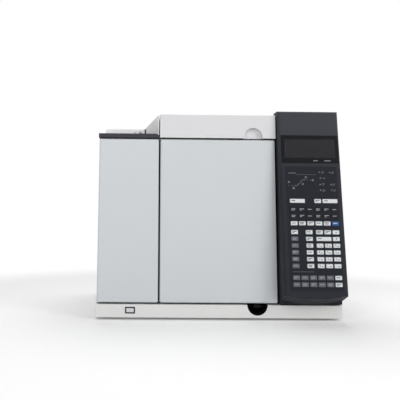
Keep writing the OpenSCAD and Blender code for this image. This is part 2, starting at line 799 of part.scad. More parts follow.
// Heater: three rings of sheathed element held by four ceramic combs
module heater_coil() {
    color("#6d5f56") placed() translate([cavity_cx, shroud_y + liner_t, cavity_cz]) union() {
        for (k = [0 : 2])
            translate([0, 10 + k * 11, 0]) rotate([90, 0, 0])
                rotate_extrude($fn = 96) translate([coil_ring_r, 0]) circle(r = coil_r, $fn = 24);
        for (a = [45 : 90 : 315])
            rotate([0, a, 0]) span([coil_ring_r - 5, 0, -4], [coil_ring_r + 5, 36, 4]);
    }
}

motor_plate_t = 3;
motor_ribs = 16;

// Finned motor on its plate behind the insulation
module oven_fan_motor() {
    color("#8d9093") placed() difference() {
        union() {
            front_slab([cavity_cx - motor_r - 12, insulation_end, cavity_cz - motor_r - 12],
                       [cavity_cx + motor_r + 12, insulation_end + motor_plate_t, cavity_cz + motor_r + 12], 8);
            rod_y(cavity_cx, cavity_cz, motor_r - 5, insulation_end, insulation_end + motor_l);
            rod_y(cavity_cx, cavity_cz, motor_r, insulation_end, insulation_end + 12);
            rod_y(cavity_cx, cavity_cz, motor_r, insulation_end + motor_l - 12, insulation_end + motor_l);
            for (k = [0 : motor_ribs - 1])
                translate([cavity_cx, insulation_end, cavity_cz]) rotate([0, k * 360 / motor_ribs, 0])
                    span([motor_r - 8, 6, -1], [motor_r - 1, motor_l - 6, 1]);
        }
        rod_y(cavity_cx, cavity_cz, fan_shaft_r + run_gap, insulation_end - eps, insulation_end + shaft_in + 1);
    }
}

shaft_in = 30;
hub_r = 14;
wheel_y = shroud_y + liner_t + 8;
blade_count = 12;

// Radial fan wheel on its shaft
module fan_wheel() {
    color("#aeb1b4") placed() translate([cavity_cx, 0, cavity_cz]) union() {
        rod_y(0, 0, fan_shaft_r, wheel_y, insulation_end + shaft_in);
        rod_y(0, 0, hub_r, wheel_y, wheel_y + fan_blade_w + 2);
        rod_y(0, 0, fan_r, wheel_y + fan_blade_w, wheel_y + fan_blade_w + 2);
        for (k = [0 : blade_count - 1])
            rotate([0, k * 360 / blade_count, 0]) translate([26, 0, 0]) rotate([0, 18, 0])
                span([0, wheel_y, -0.75], [fan_r - 30, wheel_y + fan_blade_w + 0.5, 0.75]);
    }
}

ring_r = cage_r - 4;
ring_wire_r = 1.8;
cross_wire_r = 1.2;
arm_wire_r = 2.4;
arm_x = 40;
cage_y = [118, 158];
cross_wires = 8;

// Wire cage that carries the column, hung from the shroud by two arms
module column_cage() {
    color("#9a9c9e") placed() translate([cavity_cx, 0, cavity_cz]) union() {
        for (y = cage_y)
            translate([0, y, 0]) rotate([90, 0, 0])
                rotate_extrude($fn = 72) translate([ring_r, 0]) circle(r = ring_wire_r, $fn = 16);
        for (k = [0 : cross_wires - 1])
            rotate([0, (k + 0.5) * 360 / cross_wires, 0])
                rod_y(ring_r, 0, cross_wire_r, cage_y[0] - 3, cage_y[1] + 3, $fn = 16);
        for (x = [-arm_x, arm_x])
            rod_y(x, sqrt(pow(ring_r - 1.5, 2) - arm_x * arm_x), arm_wire_r, cage_y[0] - 6, shroud_y, $fn = 24);
    }
}

winding_t = 3;

// Fused-silica column: its turns lie as one band round the cage
module capillary_column() {
    color("#8a5a2c") placed() translate([cavity_cx, cage_y[0] + 8, cavity_cz]) rotate([-90, 0, 0])
        rotate_extrude($fn = 96)
            translate([ring_r + cross_wire_r + 0.3, 0]) square([winding_t, cage_y[1] - cage_y[0] - 16]);
}

// ---------------------------------------------------------------- inlets and detectors

post_x = 113;
post_y = 100;
nut_drop = 24;

// Heated tube through the top plate and the insulation, ending in a column nut
module column_port(x, y) {
    rod_z(x, y, column_tube_r, cavity_z1 - nut_drop + 6, cavity_z1 + liner_t + 1);
    rod_z(x, y, heat_sleeve_r, cavity_z1 + liner_t, plate_z);
    translate([x, y, cavity_z1 - nut_drop]) cylinder(r = 6.4, h = 12, $fn = 6);
}

// Two split inlets with septum nuts
module sample_inlets() {
    color("#b08d4a") placed() for (y = unit_y) union() {
        column_port(inlet_unit_x, y);
        rod_z(inlet_unit_x, y, unit_r, plate_z, deck_top - 1);
        rod_z(inlet_unit_x, y, 7, deck_top - 1, deck_top + 5);
        rod_z(inlet_unit_x, y, 10, deck_top + 5, deck_top + 14);
        translate([inlet_unit_x, y, deck_top + 8]) cylinder(r = 11, h = 4, $fn = 12);
        rod_z(inlet_unit_x, y, 4, deck_top + 14, deck_top + 15.5);
    }
}

// Post that an automatic sampler drops on to
module sampler_post() {
    color("#b9bbbd") placed() union() {
        rod_z(post_x, post_y, post_r + 2, plate_top, plate_top + deck_floor + 4);
        rod_z(post_x, post_y, post_r, plate_top + deck_floor, plate_top + post_h - 2);
        rod_z(post_x, post_y, post_r - 0.5, plate_top + post_h - 2, plate_top + post_h);
    }
}

// Two flame ionization detectors: body, chimney, igniter arm and collector lead
module flame_detectors() {
    color("#a2a5a8") placed() for (y = unit_y) union() {
        column_port(det_x, y);
        rod_z(det_x, y, unit_r, plate_z, plate_top);
        rod_z(det_x, y, 24, plate_top, plate_top + 8);
        rod_z(det_x, y, 16, plate_top + 8, plate_top + 26);
        rod_z(det_x, y, 11, plate_top + 26, plate_top + 44);
        rod_z(det_x, y, 13, plate_top + 38, plate_top + 42);
        rod_x(y, plate_top + 20, 5, det_x + 10, det_x + 48);
        rod_x(y, plate_top + 20, 7, det_x + 30, det_x + 42);
        rod_x(y, plate_top + 32, 3, det_x - 32, det_x - 8);
    }
}

// ---------------------------------------------------------------- air ducts and flaps

flap_y = rear_y - 32;
flap_z = duct_z + duct_h - 6;
flap_shaft_r = 2.5;
flap_play = 0.8;

// Square duct with bores for the flap shaft
module duct(x, y_end) {
    difference() {
        span([x, liner_back + liner_t, duct_z], [x + duct_w, y_end, duct_z + duct_h]);
        span([x + liner_t, liner_back, duct_z + liner_t], [x + duct_w - liner_t, y_end + eps, duct_z + duct_h - liner_t]);
        rod_x(flap_y, flap_z, flap_shaft_r + run_gap, x - eps, x + duct_w + eps);
    }
}

// Hot air outlet that runs out behind the rear panel
module exhaust_duct() {
    x1 = exhaust_x + duct_w;
    z1 = duct_z + duct_h;
    color("#b5b7b9") placed() union() {
        duct(exhaust_x, rear_y);
        difference() {
            span([exhaust_x + liner_t, rear_y - 10, duct_z + liner_t],
                 [x1 - liner_t, cabinet_d + outlet_l, z1 - liner_t]);
            span([exhaust_x + 2 * liner_t, rear_y - 10 - eps, duct_z + 2 * liner_t],
                 [x1 - 2 * liner_t, cabinet_d + outlet_l + eps, z1 - 2 * liner_t]);
        }
    }
}

// Room air inlet
module intake_duct() {
    color("#b5b7b9") placed() duct(intake_x, rear_y);
}

// Both air flaps on their common shaft, shown closed
module oven_flaps() {
    color("#7c7f82") placed() union() {
        rod_x(flap_y, flap_z, flap_shaft_r, intake_x - 6, exhaust_x + duct_w + 16);
        for (x = [exhaust_x, intake_x])
            span([x + liner_t + flap_play, flap_y - 0.75, duct_z + liner_t + flap_play],
                 [x + duct_w - liner_t - flap_play, flap_y + 0.75, flap_z]);
    }
}

// Stepper motor on the end of the flap shaft, on a bracket beside the exhaust duct
module flap_motor() {
    x0 = exhaust_x + duct_w;
    color("#55585c") placed() difference() {
        union() {
            span([x0, flap_y - 15, flap_z - 15], [x0 + 2, flap_y + 15, flap_z + 15]);
            span([x0 + 2, flap_y - 15, flap_z + 13], [x0 + 10, flap_y + 15, flap_z + 15]);
            rod_x(flap_y, flap_z, 15, x0 + 8, x0 + 30);
        }
        rod_x(flap_y, flap_z, flap_shaft_r + run_gap, x0 - eps, x0 + 20);
    }
}

// ---------------------------------------------------------------- gas and electrics

module_w = 70;
module_d = 120;

// One electronic flow module: manifold, valves, sensor board
module flow_module(x) {
    y0 = rear_y - module_d;
    span([x - module_w / 2, y0, plate_top], [x + module_w / 2, rear_y, plate_top + 14]);
    span([x - module_w / 2, rear_y - 22, plate_top + 14], [x + module_w / 2, rear_y, plate_top + 36]);
    for (k = [0, 1], side = [-18, 18])
        rod_z(x + side, y0 + 26 + k * 34, 9, plate_top + 14, plate_top + 42);
    span([x - 31, y0 + 6, plate_top + 42], [x + 31, rear_y - 30, plate_top + 43.6]);
}

module flow_modules() {
    color("#74787c") placed() for (x = gas_x) flow_module(x);
}

nut_r = 6.4;

// Gas inlet fittings through the rear panel
module gas_fittings() {
    color("#b9974b") placed() for (x = gas_x) difference() {
        union() {
            rod_y(x, gas_z, gas_shank_r, rear_y, cabinet_d + 6);
            translate([x, cabinet_d + 5, gas_z]) rotate([-90, 0, 0]) cylinder(r = nut_r, h = 4, $fn = 6);
            translate([x, cabinet_d + 11, gas_z]) rotate([-90, 0, 0]) cylinder(r = nut_r, h = 7, $fn = 6);
            rod_y(x, gas_z, 4, cabinet_d + 5, cabinet_d + 18);
        }
        rod_y(x, gas_z, gas_bore_r, cabinet_d + 2, cabinet_d + 18 + eps);
    }
}

board_gap = 8;

// Main circuit board on standoffs beside the bay wall
module main_board() {
    x0 = bay_wall_x + sheet_t;
    xb = x0 + board_gap;
    color("#2f6a45") placed() union() {
        span([xb, 90, base_top + 110], [xb + 1.6, 390, plate_z - 24]);
        for (y = [100, 240, 380], z = [base_top + 120, plate_z - 34]) rod_x(y, z, 3, x0, xb);
        for (y = [120, 190, 260], z = [base_top + 150, base_top + 230])
            span([xb + 1.6, y, z], [xb + 5, y + 34, z + 34]);
        for (k = [0 : 8]) span([xb + 1.6, 320, base_top + 150 + k * 7], [xb + 22, 372, base_top + 152 + k * 7]);
        span([xb + 1.6, 320, base_top + 150], [xb + 6, 372, base_top + 208]);
        for (k = [0 : 4]) span([xb + 1.6, 110 + k * 50, plate_z - 60], [xb + 14, 146 + k * 50, plate_z - 50]);
    }
}

supply_h = 90;

// Power supply case with cooling slots
module power_supply() {
    x0 = console_x + 22;
    x1 = cabinet_w - 14;
    z0 = foot_h + chassis_t;
    color("#a4a6a8") placed() difference() {
        span([x0, 250, z0], [x1, 395, z0 + supply_h]);
        for (k = [0 : 8])
            span([x0 + 15, 262 + k * 14, z0 + supply_h - 3], [x1 - 15, 268 + k * 14, z0 + supply_h + eps]);
    }
}

coil_or = 58;
coil_ir = 20;
coil_h = 58;

// Mains toroid under its clamping dish
module transformer() {
    cx = console_x + console_w / 2;
    cy = 160;
    z0 = foot_h + chassis_t;
    color("#3f3a36") placed() translate([cx, cy, z0]) union() {
        rotate_extrude() {
            translate([coil_ir + 6, 0]) square([coil_or - coil_ir - 12, coil_h]);
            translate([coil_ir, 6]) square([coil_or - coil_ir, coil_h - 12]);
            for (x = [coil_ir + 6, coil_or - 6], z = [6, coil_h - 6]) translate([x, z]) circle(r = 6);
        }
        cylinder(r = coil_or - 16, h = 1.5);
        translate([0, 0, coil_h]) cylinder(r = coil_or - 16, h = 2);
        cylinder(r = 4, h = coil_h + 8);
    }
}

axle_r = 2;
cool_y = rear_y - cool_fan_d;

// Square frame with its motor mount and axle
module cooling_fan_frame() {
    half = cool_fan_size / 2;
    color("#26262a") placed() union() {
        difference() {
            front_slab([cool_x - half, cool_y, cool_z - half], [cool_x + half, rear_y, cool_z + half], 4);
            rod_y(cool_x, cool_z, half - 2, cool_y - eps, rear_y + eps);
            for (sx = [-1, 1], sz = [-1, 1])
                rod_y(cool_x + sx * (half - 5), cool_z + sz * (half - 5), 2.2, cool_y - eps, rear_y + eps);
        }
        rod_y(cool_x, cool_z, half / 3, rear_y - 4, rear_y);
        for (a = [0 : 90 : 270])
            translate([cool_x, 0, cool_z]) rotate([0, a + 20, 0])
                span([half / 3 - 1, rear_y - 4, -2], [half - 1, rear_y - 1, 2]);
        rod_y(cool_x, cool_z, axle_r, cool_y + 5, rear_y - 4);
    }
}

// Seven tilted blades on a hub
module cooling_rotor() {
    half = cool_fan_size / 2;
    color("#303034") placed() translate([cool_x, 0, cool_z]) difference() {
        union() {
            rod_y(0, 0, half / 3, cool_y + 3, rear_y - 4.5);
            intersection() {
                rod_y(0, 0, half - 3.5, cool_y + 3, rear_y - 5);
                for (k = [0 : 6])
                    rotate([0, k * 360 / 7, 0]) translate([half / 3 - 2, (cool_y + rear_y - 2) / 2, 0])
                        rotate([35, 0, 0]) span([0, -7.5, -0.8], [half, 7.5, 0.8]);
            }
        }
        rod_y(0, 0, axle_r + run_gap, cool_y + 4, rear_y - 4);
    }
}

// Connector plate with network, serial and remote sockets
module rear_connectors() {
    color("#6e7175") placed() difference() {
        union() {
            span([conn_x - conn_w / 2, rear_y - 14, conn_z0], [conn_x + conn_w / 2, cabinet_d, conn_z0 + conn_h]);
            for (k = [0 : 2])
                front_slab([conn_x - 9, cabinet_d - eps, conn_z0 + 8 + k * 27],
                           [conn_x + 9, cabinet_d + 5, conn_z0 + 18 + k * 27], 3);
        }
        for (k = [0, 1])
            span([conn_x - 16 + k * 18, cabinet_d - 11, conn_z0 + 94],
                 [conn_x - 4 + k * 18, cabinet_d + eps, conn_z0 + 104]);
    }
}

// Mains inlet socket with three pins
module power_inlet() {
    color("#1b1b1d") placed() union() {
        difference() {
            span([inlet_x - inlet_w / 2, rear_y - 20, inlet_z - inlet_h / 2],
                 [inlet_x + inlet_w / 2, cabinet_d + 2, inlet_z + inlet_h / 2]);
            front_slab([inlet_x - 12, rear_y - 16, inlet_z - 8], [inlet_x + 12, cabinet_d + 2 + eps, inlet_z + 8], 2);
        }
        for (k = [-1 : 1])
            span([inlet_x + k * 7 - 1, rear_y - 17, inlet_z - 2], [inlet_x + k * 7 + 1, cabinet_d - 2, inlet_z + 2]);
    }
}

// ---------------------------------------------------------------- door

frame_z0 = door_z0 + 3;
frame_z1 = door_z1 - 4;
frame_x0 = door_x0 + 1;
frame_x1 = door_x1 - 1;
door_liner_y = door_t - liner_t;
hinge_x = door_x0 + hinge_in;
hinge_y = door_t - hinge_fwd;
bracket_t = 2;
shoulder_r = hinge_pin_r + 2;
plug_play = 2;
plug_in = 8;

// Upper and lower hinge brackets with their pins
module hinge_brackets() {
    color("#8c8f92") placed() {
        union() {
            span([door_x0, hinge_y - 8, tray_top], [door_x0 + 20, oven_y, tray_top + bracket_t]);
            span([door_x0 + flange, oven_y - 2, tray_top], [door_x0 + 20, oven_y, tray_top + 8]);
            rod_z(hinge_x, hinge_y, shoulder_r, tray_top + bracket_t, frame_z0 - run_gap);
            rod_z(hinge_x, hinge_y, hinge_pin_r, tray_top + bracket_t, frame_z0 + hinge_pin_l);
        }
        union() {
            span([door_x0, hinge_y - 8, plate_z - bracket_t], [door_x0 + 20, oven_y, plate_z]);
            rod_z(hinge_x, hinge_y, shoulder_r, frame_z1 + run_gap, plate_z - bracket_t);
            rod_z(hinge_x, hinge_y, hinge_pin_r, frame_z1 - hinge_pin_l, plate_z - bracket_t);
        }
    }
}

pocket_y0 = nose_y - 6;
pocket_y1 = nose_y + 4.6;

// Black door frame with hinge bores, the mullion behind the seam and the latch pocket
module door_frame() {
    color("#33343a") placed() difference() {
        front_slab([frame_x0, panel_t, frame_z0], [frame_x1, door_liner_y, frame_z1], 3);
        span([frame_x0 + frame_bar, panel_t + 3, frame_z0 + frame_bar],
             [frame_x1 - frame_bar, door_liner_y + eps, frame_z1 - frame_bar]);
        for (span_x = [[frame_x0 + frame_bar, seam_x0 - 5], [seam_x1 + 5, frame_x1 - frame_bar]])
            span([span_x[0], panel_t - eps, frame_z0 + frame_bar], [span_x[1], panel_t + 3 + eps, frame_z1 - frame_bar]);
        rod_z(hinge_x, hinge_y, hinge_pin_r + run_gap, frame_z0 - eps, frame_z0 + hinge_pin_l + 1);
        rod_z(hinge_x, hinge_y, hinge_pin_r + run_gap, frame_z1 - hinge_pin_l - 1, frame_z1 + eps);
        span([recess_x - lever_w / 2 - 1, pocket_y0, frame_z0 - eps],
             [recess_x + lever_w / 2 + 1, pocket_y1, frame_z0 + 8]);
    }
}

// A facing panel: a shallow moulded tray with soft edges
module facing_panel(x0, x1) {
    difference() {
        soft_slab([x0, 0, door_z0], [x1, panel_t, door_z1 - 1], 5, panel_edge_r);
        span([x0 + wall_t, wall_t, door_z0 + wall_t], [x1 - wall_t, panel_t + eps, door_z1 - 1 - wall_t]);
    }
}

module door_panel_left() { color("#ccd0d3") placed() facing_panel(door_x0, seam_x0); }

// The right panel curves back along its free edge
module door_panel_right() {
    roll_r = (roll_w * roll_w + roll_d * roll_d) / (2 * roll_d);
    color("#ccd0d3") placed() difference() {
        facing_panel(seam_x1, door_x1);
        difference() {
            span([door_x1 - roll_w, -eps, door_z0 - eps], [door_x1 + eps, roll_d + 1, door_z1]);
            rod_z(door_x1 - roll_w, roll_r, roll_r, door_z0 - 2, door_z1 + 1);
        }
    }
}

// Insulation slab inside the door frame
module door_insulation() {
    color("#d9d2bd") placed() union() {
        span([frame_x0 + frame_bar, panel_t + 3, frame_z0 + frame_bar],
             [frame_x1 - frame_bar, door_liner_y, frame_z1 - frame_bar]);
        span([cavity_x0 + plug_play + liner_t, door_liner_y, cavity_z0 + plug_play + liner_t],
             [cavity_x1 - plug_play - liner_t, oven_y + plug_in - liner_t, cavity_z1 - plug_play - liner_t]);
    }
}

// Stainless inner sheet of the door with the plug that enters the cavity
module door_liner() {
    color("#b9bbbd") placed() difference() {
        union() {
            span([frame_x0 + 1, door_liner_y, frame_z0 + 1], [frame_x1 - 1, door_t, frame_z1 - 1]);
            span([cavity_x0 + plug_play, door_t - eps, cavity_z0 + plug_play],
                 [cavity_x1 - plug_play, oven_y + plug_in, cavity_z1 - plug_play]);
        }
        span([cavity_x0 + plug_play + liner_t, door_liner_y - eps, cavity_z0 + plug_play + liner_t],
             [cavity_x1 - plug_play - liner_t, oven_y + plug_in - liner_t, cavity_z1 - plug_play - liner_t]);
        rod_z(hinge_x, hinge_y, shoulder_r, frame_z0 - eps, frame_z0 + 2);
    }
}

gasket_w = 9;
gasket_out = 3;

// Braided seal round the mouth of the oven
module door_gasket() {
    color("#54565a") placed() difference() {
        front_slab([cavity_x0 - gasket_out - gasket_w, door_t, cavity_z0 - gasket_out - gasket_w],
                   [cavity_x1 + gasket_out + gasket_w, oven_y - 0.3, cavity_z1 + gasket_out + gasket_w], 8);
        front_slab([cavity_x0 - gasket_out, door_t - eps, cavity_z0 - gasket_out],
                   [cavity_x1 + gasket_out, oven_y + eps, cavity_z1 + gasket_out], 4);
    }
}

// ---------------------------------------------------------------- detector cover

cover_x0 = seam_x1 - 1;
rod_back = 8;
cover_rear = bay_d - 4;
cover_rod_y = cover_rear - rod_back;
cover_rod_z = covers_top - rod_back;
ear_t = 5;
thumb_x = recess_x - 4;

// Lift-up cover: top, front and two sides, with hinge ears and a thumb recess
module detector_cover() {
    color("#dfdfe2") placed() difference() {
        union() {
            difference() {
                soft_slab_y([cover_x0, 0, cover_z], [bay_wall_x, cover_rear, covers_top]);
                span([cover_x0 + wall_t, wall_t, cover_z - eps],
                     [bay_wall_x - wall_t, cover_rear + eps, covers_top - wall_t]);
            }
            intersection() {
                rod_y(thumb_x, cover_z + 4, thumb_r + wall_t, wall_t, thumb_d + wall_t);
                span([thumb_x - thumb_r - wall_t, 0, cover_z],
                     [thumb_x + thumb_r + wall_t, thumb_d + wall_t, covers_top - wall_t]);
            }
            for (x = [cover_x0 + wall_t, bay_wall_x - wall_t - ear_t])
                intersection() {
                    rod_x(cover_rod_y, cover_rod_z, rod_back, x, x + ear_t);
                    span([x, cover_rod_y - rod_back, cover_rod_z - rod_back],
                         [x + ear_t, cover_rod_y + rod_back, covers_top - wall_t]);
                }
        }
        rod_y(thumb_x, cover_z + 4, thumb_r, -eps, thumb_d);
        rod_x(cover_rod_y, cover_rod_z, cover_rod_r + run_gap, cover_x0 + wall_t - 0.5, bay_wall_x - wall_t + 0.5);
    }
}

bracket_in = 12;
bracket_half = rod_back - wall_t - 0.5;

// Hinge rod of the detector cover on two standing brackets
module cover_hinge() {
    x0 = cover_x0 + wall_t + 0.3;
    x1 = bay_wall_x - wall_t - 0.3;
    color("#8c8f92") placed() union() {
        rod_x(cover_rod_y, cover_rod_z, cover_rod_r, x0, x1);
        for (x = [x0 + bracket_in, x1 - bracket_in - 4]) {
            span([x, cover_rod_y - bracket_half, plate_top], [x + 4, cover_rod_y + bracket_half, cover_rod_z]);
            rod_x(cover_rod_y, cover_rod_z, bracket_half, x, x + 4);
            span([x, cover_rod_y - 20, plate_top], [x + 14, cover_rod_y + bracket_half, plate_top + 2]);
        }
    }
}

feet();
base_pan();
base_fascia();
latch_cup();
power_switch();
left_side_panel();
right_side_panel();
rear_panel();
chassis_frame();
inlet_deck();
pneumatics_cover();
console_housing();
display_bezel();
display_window();
keypad_plate();
console_board();
oven_insulation();
oven_liner();
fan_shroud();
heater_coil();
oven_fan_motor();
column_cage();
capillary_column();
sample_inlets();
sampler_post();
flame_detectors();
exhaust_duct();
intake_duct();
flap_motor();
flow_modules();
gas_fittings();
main_board();
power_supply();
transformer();
cooling_fan_frame();
rear_connectors();
power_inlet();
hinge_brackets();
cover_hinge();
door_frame();
door_panel_left();
door_panel_right();
door_insulation();
door_liner();
door_gasket();
detector_cover();
fan_wheel();
cooling_rotor();
oven_flaps();
latch_lever();
power_button();
key_prep();
key_stop();
key_start();
keys_function();
keys_mode();
key_shift();
keys_menu();
keys_number();
keys_program();
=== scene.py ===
"""Bench-top gas chromatograph: finishes, fittings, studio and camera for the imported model.

Every length in a dataclass field is in millimetres unless its name says otherwise.
"""

from __future__ import annotations

import json
import logging
import math
from dataclasses import dataclass, field
from enum import Enum
from typing import Iterable, Sequence

import bmesh
import bpy
from mathutils import Matrix, Vector
from mathutils.bvhtree import BVHTree

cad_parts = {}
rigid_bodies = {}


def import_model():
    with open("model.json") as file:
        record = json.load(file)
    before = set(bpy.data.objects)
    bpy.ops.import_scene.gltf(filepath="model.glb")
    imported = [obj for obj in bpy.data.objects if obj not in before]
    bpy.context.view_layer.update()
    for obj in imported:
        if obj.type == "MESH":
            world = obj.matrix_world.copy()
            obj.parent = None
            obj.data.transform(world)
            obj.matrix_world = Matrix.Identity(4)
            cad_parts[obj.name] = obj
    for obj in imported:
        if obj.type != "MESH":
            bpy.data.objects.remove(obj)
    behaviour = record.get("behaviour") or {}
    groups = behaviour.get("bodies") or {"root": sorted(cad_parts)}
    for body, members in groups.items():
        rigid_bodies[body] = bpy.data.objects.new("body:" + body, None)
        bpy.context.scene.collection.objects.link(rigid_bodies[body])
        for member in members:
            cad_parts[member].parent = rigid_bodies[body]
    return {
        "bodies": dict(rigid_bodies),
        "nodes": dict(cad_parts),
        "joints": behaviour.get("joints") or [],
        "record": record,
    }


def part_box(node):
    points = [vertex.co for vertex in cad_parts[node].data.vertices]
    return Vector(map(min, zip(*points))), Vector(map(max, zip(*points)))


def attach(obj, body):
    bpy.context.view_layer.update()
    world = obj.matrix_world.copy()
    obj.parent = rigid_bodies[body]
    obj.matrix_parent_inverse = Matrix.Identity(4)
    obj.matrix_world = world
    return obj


LOG = logging.getLogger("chromatograph")
MM = 0.001
Rgb = tuple[int, int, int]
Path = Sequence[Sequence[float]]
Outline = Sequence[tuple[float, float]]


# ------------------------------------------------------------------ node trees


def linear(rgb: Rgb) -> tuple[float, float, float, float]:
    """Turns an 8-bit display colour into a linear colour with alpha.

    Args:
        rgb: Red, green and blue from 0 to 255.

    Returns:
        The linear colour, with alpha 1.
    """

    def channel(c: float) -> float:
        """Linear value of one channel."""
        c /= 255
        return c / 12.92 if c <= 0.04045 else ((c + 0.055) / 1.055) ** 2.4

    return (channel(rgb[0]), channel(rgb[1]), channel(rgb[2]), 1.0)


class Tree:
    """Short words for building one node tree."""

    def __init__(self, tree: bpy.types.NodeTree) -> None:
        """Takes an empty node tree.

        Args:
            tree: The tree to fill.
        """
        self.tree = tree
        self.tree.nodes.clear()

    def add(self, kind: str, **settings: object) -> bpy.types.Node:
        """Adds a node.

        Args:
            kind: Node type, without its ShaderNode prefix.
            **settings: Properties of the node.

        Returns:
            The node.
        """
        prefix = "" if kind.startswith("NodeGroup") else "ShaderNode"
        node = self.tree.nodes.new(prefix + kind)
        node.location = (220 * (len(self.tree.nodes) % 9), -260 * (len(self.tree.nodes) // 9))
        for name, value in settings.items():
            setattr(node, name, value)
        return node

    def put(self, node: bpy.types.Node, **values: object) -> bpy.types.Node:
        """Sets or links inputs of a node.

        Args:
            node: The node.
            **values: Input name, with underscores for spaces, or iN for input N, and a value
                or a socket.

        Returns:
            The same node.
        """
        for name, value in values.items():
            by_number = name[0] == "i" and name[1:].isdigit()
            target = node.inputs[int(name[1:]) if by_number else name.replace("_", " ")]
            if isinstance(value, bpy.types.NodeSocket):
                self.tree.links.new(value, target)
            else:
                target.default_value = value
        return node

    def math(self, operation: str, a: object, b: object = 0.0,
             c: object = 0.0) -> bpy.types.NodeSocket:
        """Adds a math node that isn't clamped and returns its value."""
        return self.put(self.add("Math", operation=operation), i0=a, i1=b, i2=c).outputs[0]

    def remap(self, value: object, low: float, high: float, to_low: object = 0.0,
              to_high: object = 1.0) -> bpy.types.NodeSocket:
        """Maps a value from one range to another, clamped and smoothed.

        Args:
            value: Value or socket.
            low: Start of the range.
            high: End of the range.
            to_low: Result at the start.
            to_high: Result at the end.

        Returns:
            The mapped value.
        """
        node = self.add("MapRange", interpolation_type="SMOOTHSTEP")
        return self.put(node, i0=value, i1=low, i2=high, i3=to_low, i4=to_high).outputs[0]

    def mix(self, factor: object, a: object, b: object, blend: str = "MIX") -> bpy.types.NodeSocket:
        """Mixes two colours and returns the result."""
        node = self.add("Mix", data_type="RGBA", blend_type=blend)
        return self.put(node, i0=factor, i6=a, i7=b).outputs[2]

    def noise(self, where: object, scale: object, detail: float = 2.0,
              rough: float = 0.5) -> bpy.types.NodeSocket:
        """Adds a noise texture and returns its value."""
        node = self.add("TexNoise")
        return self.put(node, Vector=where, Scale=scale, Detail=detail, Roughness=rough).outputs[0]

    def here(self) -> bpy.types.NodeSocket:
        """Position in the object's own space, in metres."""
        return self.add("TexCoord").outputs["Object"]

    def split(self, vector: bpy.types.NodeSocket) -> list[bpy.types.NodeSocket]:
        """Splits a vector into its three values."""
        return list(self.put(self.add("SeparateXYZ"), Vector=vector).outputs)

    def stretched(self, where: object, scale: tuple[float, float, float]) -> bpy.types.NodeSocket:
        """Scales a position along each axis."""
        node = self.add("Mapping")
        return self.put(node, Vector=where, Scale=scale).outputs[0]

    def group(self, effect: "Effect", **values: object) -> bpy.types.Node:
        """Places a shared effect and sets its inputs."""
        return self.put(self.add("Group", node_tree=effect.tree()), **values)


class Effect(Enum):
    """Shared node groups; each is built once and placed in many materials."""

    GRAIN = "Moulded grain"
    DRIFT = "Tone drift"
    WEAR = "Edge wear and painted edge light"
    DUST = "Settled dust"
    SMUDGE = "Handling marks"
    BRUSH = "Brushed lines"
    BRAID = "Glass braid"
    FIBRE = "Wool fibre"
    TURNS = "Wound turns"
    TRACKS = "Board tracks"
    HEAT = "Heat tint and painted top light"

    def tree(self) -> bpy.types.NodeTree:
        """Returns the group's node tree, built when first asked for."""
        found = bpy.data.node_groups.get(self.value)
        return found if found else EffectMaker(self).build()


